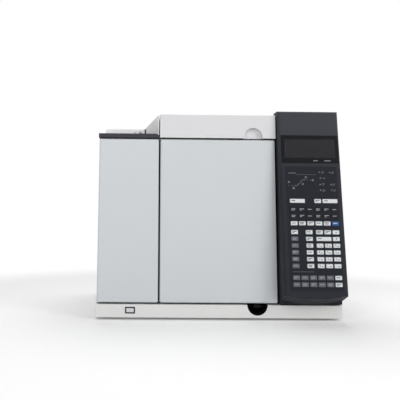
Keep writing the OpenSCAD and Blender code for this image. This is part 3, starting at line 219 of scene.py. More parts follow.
class EffectMaker:
    """Builds the node tree of one shared effect."""

    SOCKETS: dict[Effect, tuple[str, str]] = {
        Effect.GRAIN: ("Size:F", "Height:F Spread:F"),
        Effect.DRIFT: ("Colour:C Amount:F Size:F", "Colour:C"),
        Effect.WEAR: ("Colour:C Worn:C Amount:F Reach:F Patchy:F", "Colour:C Mask:F"),
        Effect.DUST: ("Colour:C Roughness:F Amount:F", "Colour:C Roughness:F"),
        Effect.SMUDGE: ("Roughness:F Amount:F", "Roughness:F"),
        Effect.BRUSH: ("Along:V Depth:F", "Height:F Spread:F"),
        Effect.BRAID: ("Size:F", "Height:F Mask:F"),
        Effect.FIBRE: ("Size:F", "Height:F Mask:F"),
        Effect.TURNS: ("Size:F", "Height:F Mask:F"),
        Effect.TRACKS: ("Size:F", "Height:F Mask:F"),
        Effect.HEAT: ("Colour:C Tint:C Low:F High:F", "Colour:C"),
    }
    KINDS = {"F": "NodeSocketFloat", "C": "NodeSocketColor", "V": "NodeSocketVector"}

    def __init__(self, effect: Effect) -> None:
        """Makes the empty group with its sockets.

        Args:
            effect: The effect to build.
        """
        self.effect = effect
        data = bpy.data.node_groups.new(effect.value, "ShaderNodeTree")
        for text, way in zip(self.SOCKETS[effect], ("INPUT", "OUTPUT")):
            for word in text.split():
                name, kind = word.split(":")
                data.interface.new_socket(name=name, in_out=way, socket_type=self.KINDS[kind])
        self.t = Tree(data)
        self.given = self._end("NodeGroupInput").outputs
        self.result = self._end("NodeGroupOutput")

    def _end(self, kind: str) -> bpy.types.Node:
        """Adds a group input or output node."""
        return self.t.tree.nodes.new(kind)

    def build(self) -> bpy.types.NodeTree:
        """Fills the group and returns its tree."""
        getattr(self, "_" + self.effect.name.lower())()
        return self.t.tree

    def _give(self, **values: bpy.types.NodeSocket) -> None:
        """Links values to the group's outputs."""
        self.t.put(self.result, **values)

    def _grain(self) -> None:
        """Fine pebbled skin of a moulding or of powder coat."""
        t, scale = self.t, self.t.math("DIVIDE", 1.0, self.given["Size"])
        coarse = t.noise(t.here(), scale, 3.0, 0.6)
        cells = t.put(t.add("TexVoronoi"), Vector=t.here(),
                      Scale=t.math("MULTIPLY", scale, 1.7)).outputs[0]
        self._give(
            Height=t.math("MULTIPLY_ADD", cells, 0.45, t.math("MULTIPLY", coarse, 0.55)),
            Spread=t.noise(t.here(), t.math("MULTIPLY", scale, 0.3), 2.0),
        )

    def _drift(self) -> None:
        """Slow change of tone over a large surface."""
        t, scale = self.t, self.t.math("DIVIDE", 1.0, self.given["Size"])
        broad = t.noise(t.here(), scale, 2.0, 0.4)
        fine = t.noise(t.here(), t.math("MULTIPLY", scale, 14.0), 3.0, 0.6)
        both = t.math("MULTIPLY_ADD", fine, 0.35, t.math("MULTIPLY", broad, 0.65))
        swing = t.math("MULTIPLY", t.math("SUBTRACT", both, 0.5), self.given["Amount"])
        node = t.add("HueSaturation")
        t.put(node, Color=self.given["Colour"], Value=t.math("ADD", swing, 1.0))
        t.put(node, Saturation=t.math("MULTIPLY_ADD", swing, -1.5, 1.0))
        self._give(Colour=node.outputs[0])

    def _wear(self) -> None:
        """Edge colour found by comparing rounded and plain normals: rubbed wear, painted highlights
        and painted shade.
        """
        t = self.t
        soft = t.put(t.add("Bevel", samples=6), Radius=self.given["Reach"]).outputs[0]
        dot = t.add("VectorMath", operation="DOT_PRODUCT")
        t.put(dot, i0=soft, i1=t.add("NewGeometry").outputs["Normal"])
        edge = t.remap(t.math("SUBTRACT", 1.0, dot.outputs["Value"]), 0.01, 0.16)
        gap = t.math("SUBTRACT", 1.0, t.remap(t.noise(t.here(), 70.0, 4.0, 0.65), 0.35, 0.7))
        patch = t.math("SUBTRACT", 1.0, t.math("MULTIPLY", gap, self.given["Patchy"]))
        mask = t.math("MULTIPLY", t.math("MULTIPLY", edge, patch), self.given["Amount"])
        self._give(Colour=t.mix(mask, self.given["Colour"], self.given["Worn"]), Mask=mask)

    def _dust(self) -> None:
        """Dust on faces that look up."""
        t = self.t
        up = t.split(t.add("NewGeometry").outputs["Normal"])[2]
        patch = t.remap(t.noise(t.here(), 22.0, 5.0, 0.7), 0.3, 0.8)
        fall = t.math("MULTIPLY", t.remap(up, 0.35, 0.95), patch)
        mask = t.math("MULTIPLY", fall, self.given["Amount"])
        self._give(
            Colour=t.mix(mask, self.given["Colour"], linear((176, 172, 164))),
            Roughness=t.math("MULTIPLY_ADD", mask, 0.35, self.given["Roughness"]),
        )

    def _smudge(self) -> None:
        """Patches where hands and cloths changed the gloss."""
        t = self.t
        bent = t.noise(t.here(), 9.0, 4.0, 0.6)
        streak = t.noise(t.stretched(t.here(), (40.0, 40.0, 9.0)), 1.0, 3.0, 0.6)
        both = t.math("MULTIPLY_ADD", streak, 0.4, t.math("MULTIPLY", bent, 0.6))
        swing = t.math("MULTIPLY", t.math("SUBTRACT", both, 0.5), self.given["Amount"])
        self._give(Roughness=t.math("ADD", self.given["Roughness"], swing))

    def _brush(self) -> None:
        """Lines left by rolling or brushing sheet metal."""
        t = self.t
        node = t.add("Mapping")
        where = t.put(node, Vector=t.here(), Scale=self.given["Along"]).outputs[0]
        lines = t.noise(where, 1.0, 4.0, 0.7)
        self._give(Height=t.math("MULTIPLY", lines, self.given["Depth"]), Spread=lines)

    def _braid(self) -> None:
        """Plaited glass yarn: two crossing waves."""
        t, scale = self.t, self.t.math("DIVIDE", 1.0, self.given["Size"])
        parts = t.split(t.here())
        run = t.math("MULTIPLY", t.math("ADD", parts[0], parts[2]), scale)
        cross = t.math("MULTIPLY", t.math("SUBTRACT", parts[0], parts[2]), scale)
        deep = t.math("MULTIPLY", parts[1], t.math("MULTIPLY", scale, 1.4))
        one = t.math("SINE", t.math("ADD", run, deep))
        two = t.math("SINE", t.math("SUBTRACT", cross, deep))
        weave = t.math("MAXIMUM", t.math("ABSOLUTE", one), t.math("ABSOLUTE", two))
        fuzz = t.noise(t.here(), 2600.0, 2.0)
        self._give(Height=t.math("MULTIPLY_ADD", fuzz, 0.25, weave),
                   Mask=t.remap(weave, 0.35, 0.95))

    def _fibre(self) -> None:
        """Matted wool with clumps and single strands."""
        t, scale = self.t, self.t.math("DIVIDE", 1.0, self.given["Size"])
        clump = t.noise(t.here(), scale, 5.0, 0.75)
        strand = t.noise(t.stretched(t.here(), (90.0, 1500.0, 1500.0)), 1.0, 3.0, 0.7)
        self._give(Height=t.math("ADD", clump, t.math("MULTIPLY", strand, 0.5)), Mask=strand)

    def _turns(self) -> None:
        """Parallel turns of wire or tube across the Y axis."""
        t, scale = self.t, self.t.math("DIVIDE", 6.2832, self.given["Size"])
        along = t.math("ADD", t.split(t.here())[1],
                       t.math("MULTIPLY", t.noise(t.here(), 60.0, 2.0), 0.0006))
        wave = t.math("SINE", t.math("MULTIPLY", along, scale))
        self._give(Height=t.math("MULTIPLY_ADD", wave, 0.5, 0.5), Mask=t.remap(wave, -1.0, 0.3))

    def _tracks(self) -> None:
        """Copper tracks under solder mask."""
        t, scale = self.t, self.t.math("DIVIDE", 1.0, self.given["Size"])
        bricks = t.add("TexBrick", offset=0.5, squash=2.0)
        where = t.put(t.add("Mapping"), Vector=t.here(), Rotation=(1.5708, 0.0, 0.7854)).outputs[0]
        t.put(bricks, Vector=where, Scale=scale, Mortar_Size=0.06)
        blot = t.remap(t.noise(t.here(), 90.0, 1.0), 0.45, 0.55)
        mask = t.math("MULTIPLY", bricks.outputs["Fac"], blot)
        self._give(Height=mask, Mask=mask)

    def _heat(self) -> None:
        """A tint that sets in with height: heat tint on hot steel, and a painted lighter top where
        light falls from above.
        """
        t = self.t
        blur = t.math("MULTIPLY_ADD", t.noise(t.here(), 12.0, 3.0), 0.06, -0.03)
        level = t.math("ADD", t.split(t.here())[2], blur)
        node = t.add("MapRange", interpolation_type="SMOOTHSTEP")
        t.put(node, i0=level, i1=self.given["Low"], i2=self.given["High"], i3=0.0, i4=1.0)
        self._give(Colour=t.mix(node.outputs[0], self.given["Colour"], self.given["Tint"]))


# ------------------------------------------------------------------ finishes


class Kind(Enum):
    """What a surface is made of, which picks the build of its material."""

    MOULDED = "moulded plastic"
    COATED = "powder coat"
    SHEET = "rolled sheet metal"
    TURNED = "turned metal"
    RUBBER = "rubber"
    WOOL = "mineral wool"
    BRAID = "braided seal"
    BOARD = "circuit board"
    WINDOW = "smoked window"
    WOUND = "wound turns"
    LAMP = "signal lamp"
    PRINT = "printed ink"


@dataclass(frozen=True)
class Finish:
    """A named finish: its colours, gloss and the scale of its detail."""

    name: str
    slot: str
    kind: Kind
    colour: Rgb
    rough: float = 0.5
    metal: float = 0.0
    # worn tints the edges, a board's tracks, the hollows of braid and turns, and the gaps between
    # wool strands; wear sets how far edges take it, as rubbed wear, painted highlight and painted
    # shade.
    worn: Rgb = (200, 200, 200)
    wear: float = 0.0
    reach: float = 1.2
    patchy: float = 1.0
    dust: float = 0.0
    drift: float = 0.06
    grain: float = 0.5
    depth: float = 0.02
    along: tuple[float, float, float] = (12.0, 12.0, 900.0)
    coat: float = 0.0
    sheen: float = 0.5
    # A colour that sets in with height: heat tint on stainless, and a painted lighter top on the
    # console.
    tint: Rgb | None = None
    tint_from: float = 300.0
    tint_to: float = 440.0

    def material(self) -> bpy.types.Material:
        """Builds the finish's material when first asked for.

        Returns:
            The material.
        """
        found = bpy.data.materials.get(self.name)
        if found:
            return found
        data = bpy.data.materials.new(self.name)
        data.use_nodes = True
        t = Tree(data.node_tree)
        shader = t.add("BsdfPrincipled")
        t.put(t.add("OutputMaterial"), Surface=shader.outputs[0])
        t.put(shader, Metallic=self.metal, Coat_Weight=self.coat, Coat_Roughness=0.12,
              Specular_IOR_Level=self.sheen)
        if self.kind is Kind.WINDOW:
            self._window(t, shader)
        else:
            self._solid(t, shader)
        data.diffuse_color = linear(self.colour)
        return data

    def _window(self, t: Tree, shader: bpy.types.Node) -> None:
        """Smoked plastic that shows what is behind it.

        Args:
            t: The material's tree.
            shader: Its Principled BSDF.
        """
        base = t.group(Effect.DRIFT, Colour=linear(self.colour), Amount=self.drift, Size=0.05)
        gloss = t.group(Effect.SMUDGE, Roughness=self.rough, Amount=0.02)
        t.put(shader, Base_Color=base.outputs[0], Roughness=gloss.outputs[0])
        t.put(shader, Transmission_Weight=0.9, IOR=1.28)

    def _relief(self, t: Tree) -> tuple[bpy.types.NodeSocket, bpy.types.NodeSocket]:
        """Places the pattern of the finish's kind.

        Args:
            t: The material's tree.

        Returns:
            The height and a mask of the pattern.
        """
        if self.kind in (Kind.SHEET, Kind.TURNED):
            node = t.group(Effect.BRUSH, Along=self.along, Depth=1.0)
        elif self.kind is Kind.BRAID:
            node = t.group(Effect.BRAID, Size=self.grain * MM)
        elif self.kind is Kind.WOOL:
            node = t.group(Effect.FIBRE, Size=self.grain * MM)
        elif self.kind is Kind.WOUND:
            node = t.group(Effect.TURNS, Size=self.grain * MM)
        elif self.kind is Kind.BOARD:
            node = t.group(Effect.TRACKS, Size=self.grain * MM)
        else:
            node = t.group(Effect.GRAIN, Size=self.grain * MM)
        return node.outputs[0], node.outputs[1]

    def _solid(self, t: Tree, shader: bpy.types.Node) -> None:
        """Opaque surface: tone, pattern, edge wear and painted edge light, dust, gloss and relief.

        Args:
            t: The material's tree.
            shader: Its Principled BSDF.
        """
        height, mask = self._relief(t)
        tone = t.group(Effect.DRIFT, Colour=linear(self.colour), Amount=self.drift,
                       Size=0.16).outputs[0]
        if self.kind is Kind.BOARD:
            tone = t.mix(mask, tone, linear(self.worn))
        # Braid and wound turns take the darker second colour in their hollows, as painted shade;
        # wool takes it between its strands.
        elif self.kind in (Kind.BRAID, Kind.WOOL, Kind.WOUND):
            tone = t.mix(mask, linear(self.worn), tone)
        # Height tint: heat tint on stainless, and painted light from above on the console's top.
        if self.tint:
            shift = t.group(Effect.HEAT, Colour=tone, Tint=linear(self.tint),
                            Low=self.tint_from * MM,
                            High=self.tint_to * MM)
            tone = shift.outputs[0]
        # Edges take the second colour: rubbed wear on most finishes, a painted highlight on the
        # door, covers and base strip, and painted shade on the white keys.
        if self.wear:
            edge_toned = t.group(Effect.WEAR, Colour=tone, Worn=linear(self.worn), Amount=self.wear,
                             Reach=self.reach * MM, Patchy=self.patchy)
            tone = edge_toned.outputs[0]
        gloss = t.group(Effect.SMUDGE, Roughness=self.rough, Amount=0.12).outputs[0]
        if self.kind in (Kind.SHEET, Kind.TURNED):
            gloss = t.math("MULTIPLY_ADD", mask, 0.16, t.math("SUBTRACT", gloss, 0.08))
        if self.dust:
            settled = t.group(Effect.DUST, Colour=tone, Roughness=gloss, Amount=self.dust)
            tone, gloss = settled.outputs[0], settled.outputs[1]
        bump = t.put(t.add("Bump"), Strength=0.6, Distance=self.depth * MM, Height=height)
        t.put(shader, Base_Color=tone, Roughness=gloss, Normal=bump.outputs[0])
        if self.kind is Kind.LAMP:
            t.put(shader, Transmission_Weight=0.15)

    def dress(self, node: bpy.types.Object) -> None:
        """Puts the finish on every material slot of a node.

        Args:
            node: The node to dress.
        """
        if not node.material_slots:
            node.data.materials.append(self.material())
        for slot in node.material_slots:
            slot.material = self.material()


# The near-white edges are a painted highlight along the panel edges.
DOOR_GREY = Finish("Door grey", "door_grey", Kind.COATED, (206, 210, 213), 0.42, grain=0.7,
                   depth=0.012, drift=0.03, wear=0.8, worn=(246, 247, 248), reach=1.0, patchy=0.25,
                   dust=0.05)
# The lighter edges are a painted highlight.
COVER_WHITE = Finish("Cover plastic", "cover_plastic", Kind.MOULDED, (218, 218, 220), 0.45,
                     grain=0.6, depth=0.014, drift=0.03, wear=0.6, worn=(246, 246, 247), reach=1.0,
                     patchy=0.4, dust=0.1)
# Cover plastic painted lighter, standing in for light that the rear cover and its wing don't get;
# its lighter edges are a painted highlight.
REAR_WHITE_PAINTED_LIGHTER = Finish("Rear cover plastic painted lighter", "cover_plastic", Kind.MOULDED, (247, 247, 248), 0.5,
                    grain=0.6, depth=0.014, drift=0.03, wear=0.4, worn=(250, 250, 250), reach=1.0,
                    patchy=0.4, dust=0.06)
# Cover plastic painted lighter, standing in for light that the low base strip doesn't get; its
# lighter edges are a painted highlight.
BASE_WHITE_PAINTED_LIGHTER = Finish("Base strip plastic painted lighter", "cover_plastic", Kind.MOULDED, (228, 227, 226), 0.45,
                    grain=0.6, depth=0.014, drift=0.03, wear=0.6, worn=(250, 250, 250), reach=1.0,
                    patchy=0.4, dust=0.08)
CABINET_PAINT = Finish("Cabinet paint", "white_paint", Kind.COATED, (208, 209, 210), 0.44,
                       grain=0.9, depth=0.02, drift=0.04, wear=0.3, worn=(160, 160, 158), dust=0.1)
# The tint makes the housing lighter towards its top: painted light from above.
CONSOLE = Finish("Console grey", "console_black", Kind.MOULDED, (41, 43, 49), 0.6, grain=0.55,
                 depth=0.02, drift=0.1, wear=0.3, worn=(72, 74, 80), dust=0.06, sheen=0.14,
                 tint=(60, 62, 67), tint_from=330.0, tint_to=470.0)
BLACK = Finish("Black moulding", "black_plastic", Kind.MOULDED, (36, 36, 40), 0.5, grain=0.5,
               depth=0.016, drift=0.14, wear=0.25, worn=(74, 75, 80), dust=0.08, sheen=0.15)
DECK = Finish("Deck tray", "black_plastic", Kind.MOULDED, (62, 62, 68), 0.55, grain=0.6, depth=0.02,
              drift=0.1, wear=0.25, worn=(88, 89, 96), dust=0.1, sheen=0.15)
POCKET = Finish("Pocket black", "black_plastic", Kind.MOULDED, (17, 17, 19), 0.7, grain=0.5,
                depth=0.016, drift=0.14, wear=0.1, worn=(40, 40, 44), sheen=0.08)
KEYPAD = Finish("Keypad film", "black_plastic", Kind.MOULDED, (36, 38, 45), 0.62, grain=0.25,
                depth=0.006, drift=0.1, wear=0.15, worn=(56, 57, 64), dust=0.04, sheen=0.1)
BEZEL = Finish("Display bezel", "black_plastic", Kind.MOULDED, (17, 17, 22), 0.45, grain=0.4,
               depth=0.008, drift=0.12, wear=0.2, worn=(48, 48, 54), dust=0.04, sheen=0.1)
WINDOW = Finish("Smoked window", "window", Kind.WINDOW, (112, 112, 117), 0.03, drift=0.05,
                sheen=0.25)
# The dark edges are painted shade on the rounded sides of the keys.
KEY_WHITE = Finish("White key", "key_white", Kind.MOULDED, (214, 217, 218), 0.52, grain=0.3,
                   depth=0.008, drift=0.05, wear=0.9, worn=(96, 99, 104), reach=1.5, patchy=0.12)
KEY_BLACK = Finish("Black key", "key_black", Kind.MOULDED, (24, 25, 29), 0.52, grain=0.3,
                   depth=0.008, drift=0.12, wear=0.25, worn=(58, 58, 62), sheen=0.2)
KEY_GREY = Finish("Grey key", "key_grey", Kind.MOULDED, (94, 96, 103), 0.52, grain=0.3, depth=0.008,
                  drift=0.08, wear=0.25, worn=(132, 134, 140), sheen=0.25)
KEY_BLUE = Finish("Blue key", "key_blue", Kind.MOULDED, (8, 74, 140), 0.5, grain=0.3, depth=0.008,
                  drift=0.08, wear=0.3, worn=(70, 130, 190))
BOARD = Finish("Circuit board", "board", Kind.BOARD, (28, 78, 50), 0.38, grain=4.0, depth=0.03,
               drift=0.1, worn=(58, 122, 76))
CHASSIS = Finish("Zinc sheet", "chassis_steel", Kind.SHEET, (168, 170, 172), 0.42, metal=0.85,
                 depth=0.008, drift=0.1, along=(14.0, 14.0, 420.0), dust=0.08, wear=0.2,
                 worn=(206, 207, 208))
STAINLESS = Finish("Stainless sheet", "stainless", Kind.SHEET, (186, 188, 190), 0.3, metal=0.95,
                   depth=0.006, drift=0.08, along=(10.0, 10.0, 700.0), tint=(166, 152, 128))
STEEL_PART = Finish("Turned steel", "stainless", Kind.TURNED, (176, 178, 181), 0.28, metal=0.95,
                    depth=0.006, drift=0.08, along=(500.0, 20.0, 500.0), wear=0.3,
                    worn=(220, 220, 222))
DARK_STEEL = Finish("Blackened steel", "stainless", Kind.TURNED, (58, 58, 62), 0.45, metal=0.4,
                    depth=0.006, drift=0.1, along=(500.0, 500.0, 20.0), wear=0.3,
                    worn=(120, 120, 124))
WOOL = Finish("Mineral wool", "wool", Kind.WOOL, (196, 184, 150), 0.95, grain=9.0, depth=1.2,
              drift=0.3, worn=(150, 134, 98))
# The darker second colour is painted shade in the hollows of the braid.
GASKET = Finish("Glass braid seal", "gasket", Kind.BRAID, (206, 204, 196), 0.85, grain=0.55,
                depth=0.35, drift=0.2, worn=(128, 124, 112))
ELEMENT = Finish("Heater sheath", "element", Kind.TURNED, (92, 78, 70), 0.48, metal=0.7, depth=0.02,
                 drift=0.5, along=(160.0, 160.0, 160.0), wear=0.3, worn=(128, 98, 72))
ALLOY = Finish("Cast alloy", "motor_alloy", Kind.SHEET, (134, 137, 140), 0.46, metal=0.8,
               depth=0.05, drift=0.12, along=(420.0, 420.0, 420.0), wear=0.35, worn=(190, 190, 192),
               dust=0.1)
# The darker second colour is painted shade between the turns.
SILICA = Finish("Capillary turns", "silica", Kind.WOUND, (124, 74, 30), 0.3, grain=0.9, depth=0.25,
                drift=0.2, worn=(60, 32, 12), coat=0.5)
BRASS = Finish("Brass", "brass", Kind.TURNED, (186, 150, 84), 0.3, metal=0.9, depth=0.006,
               drift=0.12, along=(500.0, 500.0, 30.0), wear=0.3, worn=(226, 200, 140))
# The darker second colour is painted shade between the turns.
COPPER = Finish("Varnished copper", "copper_coil", Kind.WOUND, (150, 78, 42), 0.35, grain=1.6,
                depth=0.5, drift=0.25, worn=(78, 34, 18), coat=0.4)
RUBBER = Finish("Foot rubber", "rubber", Kind.RUBBER, (34, 34, 35), 0.8, grain=0.8, depth=0.04,
                drift=0.2, wear=0.4, worn=(78, 77, 74), dust=0.2)
SCREW = Finish("Screw zinc", "stainless", Kind.TURNED, (170, 172, 174), 0.32, metal=0.92,
               depth=0.01, drift=0.15, along=(600.0, 600.0, 600.0), wear=0.3, worn=(214, 214, 214))
INK_LIGHT = Finish("Light ink", "key_white", Kind.PRINT, (142, 146, 156), 0.55, grain=0.2,
                   depth=0.003, drift=0.1)
INK_WHITE = Finish("White ink", "key_white", Kind.PRINT, (206, 210, 216), 0.55, grain=0.2,
                   depth=0.003, drift=0.1)
INK_DARK = Finish("Dark ink", "key_black", Kind.PRINT, (56, 58, 64), 0.55, grain=0.2, depth=0.003,
                  drift=0.1)
INK_DIM = Finish("Dim ink", "key_grey", Kind.PRINT, (92, 95, 104), 0.55, grain=0.2, depth=0.003,
                 drift=0.1)
LENS = Finish("Lamp lens", "key_grey", Kind.LAMP, (112, 118, 126), 0.2, grain=0.4, depth=0.01,
              drift=0.3, coat=0.6)
PANEL = Finish("Display glass", "window", Kind.PRINT, (33, 34, 38), 0.4, sheen=0.1, grain=0.35,
               depth=0.004, drift=0.1)
SLEEVE = Finish("Wire sleeve", "rubber", Kind.RUBBER, (38, 38, 42), 0.55, grain=0.4, depth=0.02,
                drift=0.15)
GOLD = Finish("Contact gold", "brass", Kind.TURNED, (214, 176, 92), 0.25, metal=1.0, depth=0.002,
              drift=0.1, along=(600.0, 600.0, 600.0))


# ------------------------------------------------------------------ meshes


def turned(origin: Sequence[float], out: Sequence[float],
           up: Sequence[float] = (0, 0, 1)) -> Matrix:
    """A frame with its Z along a direction.

    Args:
        origin: Where the frame stands, in millimetres.
        out: Direction of its Z.
        up: Direction that its Y leans towards.

    Returns:
        The frame as a 4 by 4 matrix.
    """
    z = Vector(out).normalized()
    x = Vector(up).cross(z)
    x = x.normalized() if x.length > 1e-6 else z.orthogonal().normalized()
    y = z.cross(x)
    frame = Matrix((x, y, z)).transposed().to_4x4()
    frame.translation = Vector(origin)
    return frame


def rounded(width: float, height: float, radius: float,
            steps: int = 4) -> list[tuple[float, float]]:
    """Outline of a rectangle with round corners, about its centre.

    Args:
        width: Size along X.
        height: Size along Y.
        radius: Corner radius.
        steps: Points on each corner, less one.

    Returns:
        The points in order.
    """
    points = []
    for k, (sx, sy) in enumerate(((1, 1), (-1, 1), (-1, -1), (1, -1))):
        cx, cy = sx * (width / 2 - radius), sy * (height / 2 - radius)
        for i in range(steps + 1):
            a = math.radians(90 * k + 90 * i / steps)
            points.append((cx + radius * math.cos(a), cy + radius * math.sin(a)))
    return points


def eased(path: Path, radius: float, steps: int = 6) -> list[Vector]:
    """A path with its corners rounded.

    Args:
        path: Corner points.
        radius: How far from a corner the rounding starts.
        steps: Points on each corner, less one.

    Returns:
        The points of the rounded path.
    """
    points = [Vector(p) for p in path]
    result = [points[0]]
    for before, corner, after in zip(points, points[1:], points[2:]):
        reach = min(radius, (before - corner).length / 2, (after - corner).length / 2)
        a = corner + (before - corner).normalized() * reach
        b = corner + (after - corner).normalized() * reach
        for i in range(steps + 1):
            k = i / steps
            result.append(a * (1 - k) ** 2 + corner * 2 * k * (1 - k) + b * k * k)
    result.append(points[-1])
    return result


class Shape:
    """Collects closed forms in millimetres and makes one piece of them."""

    def __init__(self) -> None:
        """Starts an empty mesh."""
        self.mesh = bmesh.new()

    def loft(self, rings: Iterable[Iterable[Vector]], joined: bool = False) -> "Shape":
        """Skins rings of equal length.

        Args:
            rings: The rings in order.
            joined: True to join the last ring to the first, with no ends.

        Returns:
            The shape itself.
        """
        rows = [[self.mesh.verts.new(p) for p in ring] for ring in rings]
        pairs = list(zip(rows, rows[1:])) + ([(rows[-1], rows[0])] if joined else [])
        for low, high in pairs:
            for i in range(len(low)):
                j = (i + 1) % len(low)
                self.mesh.faces.new((low[i], low[j], high[j], high[i]))
        if not joined:
            self.mesh.faces.new(rows[0][::-1])
            self.mesh.faces.new(rows[-1])
        return self

    def lathe(self, profile: Outline, place: Matrix, sides: int = 28) -> "Shape":
        """Turns a profile of radius and height about the frame's Z.

        Args:
            profile: Points of radius and height, from one end to the other.
            place: The frame it stands in.
            sides: Points round it.

        Returns:
            The shape itself.
        """
        turn = [2 * math.pi * i / sides for i in range(sides)]
        return self.loft([[place @ Vector((r * math.cos(a), r * math.sin(a), z)) for a in turn]
                          for r, z in profile])

    def prism(self, outline: Outline, depth: float, place: Matrix, soft: float = 0.0) -> "Shape":
        """Raises an outline into a plate, with a soft front edge.

        Args:
            outline: Points about the frame's origin.
            depth: Thickness along the frame's Z.
            place: The frame it lies in.
            soft: How much the front edge is taken in.

        Returns:
            The shape itself.
        """
        span = max(max(abs(x), abs(y)) for x, y in outline)
        rows = [(0.0, 1.0), (depth - soft, 1.0)]
        if soft:
            rows += [(depth - soft * 0.3, 1 - 0.3 * soft / span), (depth, 1 - soft / span)]
        return self.loft([[place @ Vector((x * k, y * k, z)) for x, y in outline] for z, k in rows])

    def tube(self, path: Path, radius: float, sides: int = 10, ease: float = 6.0) -> "Shape":
        """Runs a round tube along a path with eased corners.

        Args:
            path: Corner points.
            radius: Radius of the tube.
            sides: Points round it.
            ease: How far from a corner the easing starts.

        Returns:
            The shape itself.
        """
        points = eased(path, ease)
        rings, side = [], None
        for i, point in enumerate(points):
            ahead = (points[min(i + 1, len(points) - 1)] - points[max(i - 1, 0)]).normalized()
            side = ahead.orthogonal() if side is None else side - ahead * side.dot(ahead)
            side.normalize()
            other = ahead.cross(side)
            rings.append([point + radius * (side * math.cos(a) + other * math.sin(a))
                          for a in (2 * math.pi * k / sides for k in range(sides))])
        return self.loft(rings)

    def screw(self, place: Matrix, radius: float = 3.4, high: float = 1.9) -> "Shape":
        """A pan head with a six-lobe recess.

        Args:
            place: Frame on the surface, Z outwards.
            radius: Radius of the head.
            high: Height of the head.

        Returns:
            The shape itself.
        """
        rows = [(radius, -0.3, 0.0), (radius, high * 0.3, 0.0), (radius * 0.93, high * 0.62, 0.0),
                (radius * 0.7, high * 0.93, 0.0), (radius * 0.5, high, 0.0),
                (radius * 0.4, high, 0.16),
                (radius * 0.38, high * 0.35, 0.16), (radius * 0.1, high * 0.25, 0.0)]
        turn = [2 * math.pi * i / 36 for i in range(36)]
        return self.loft([[place @ Vector((r * (1 + lobe * math.cos(6 * a)) * math.cos(a),
                                           r * (1 + lobe * math.cos(6 * a)) * math.sin(a), z))
                                           for a in turn]
                          for r, z, lobe in rows])

    def nut(self, place: Matrix, radius: float, high: float, bore: float) -> "Shape":
        """A hexagon nut with chamfered corners, closed round its bore.

        Args:
            place: Frame on the surface, Z outwards.
            radius: Radius over the corners.
            high: Height of the nut.
            bore: Radius of the bore.

        Returns:
            The shape itself.
        """
        six = [math.radians(60 * i) for i in range(6)]
        rows = [(radius * 0.9, 0), (radius, high * 0.15), (radius, high * 0.85),
                (radius * 0.9, high), (bore, high), (bore, 0)]
        return self.loft([[place @ Vector((r * math.cos(a), r * math.sin(a), z)) for a in six]
                          for r, z in rows], joined=True)

    def figure(self, text: str, size: float, place: Matrix) -> "Shape":
        """Raises plain figures, such as the numbers of a number block.

        Args:
            text: The figures.
            size: Height of the type.
            place: Frame at the middle of the figures, Z outwards.

        Returns:
            The shape itself.
        """
        curve = bpy.data.curves.new("figure", "FONT")
        curve.body, curve.size, curve.extrude = text, size, 0.03
        curve.align_x, curve.align_y = "CENTER", "CENTER"
        curve.resolution_u = 3
        holder = bpy.data.objects.new("figure", curve)
        bpy.context.scene.collection.objects.link(holder)
        bpy.context.view_layer.update()
        graph = bpy.context.evaluated_depsgraph_get()
        flat = bpy.data.meshes.new_from_object(holder.evaluated_get(graph))
        flat.transform(place)
        self.mesh.from_mesh(flat)
        bpy.data.objects.remove(holder)
        bpy.data.curves.remove(curve)
        bpy.data.meshes.remove(flat)
        return self

    def piece(self, name: str, finish: Finish, body: str, angle: float = 32.0) -> bpy.types.Object:
        """Makes the piece, dresses it and lets it ride on a body.

        Args:
            name: Name of the piece.
            finish: Its finish.
            body: The CAD body it moves with.
            angle: Edges sharper than this many degrees stay crisp.

        Returns:
            The piece.
        """
        bmesh.ops.remove_doubles(self.mesh, verts=self.mesh.verts, dist=1e-4)
        bmesh.ops.recalc_face_normals(self.mesh, faces=self.mesh.faces)
        data = bpy.data.meshes.new(name)
        self.mesh.to_mesh(data)
        self.mesh.free()
        data.transform(Matrix.Scale(MM, 4))
        data.polygons.foreach_set("use_smooth", [True] * len(data.polygons))
        data.set_sharp_from_angle(angle=math.radians(angle))
        data.materials.append(finish.material())
        made = bpy.data.objects.new(name, data)
        bpy.context.scene.collection.objects.link(made)
        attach(made, body)
        LOG.info("piece %s on %s, %d faces", name, body, len(data.polygons))
        return made


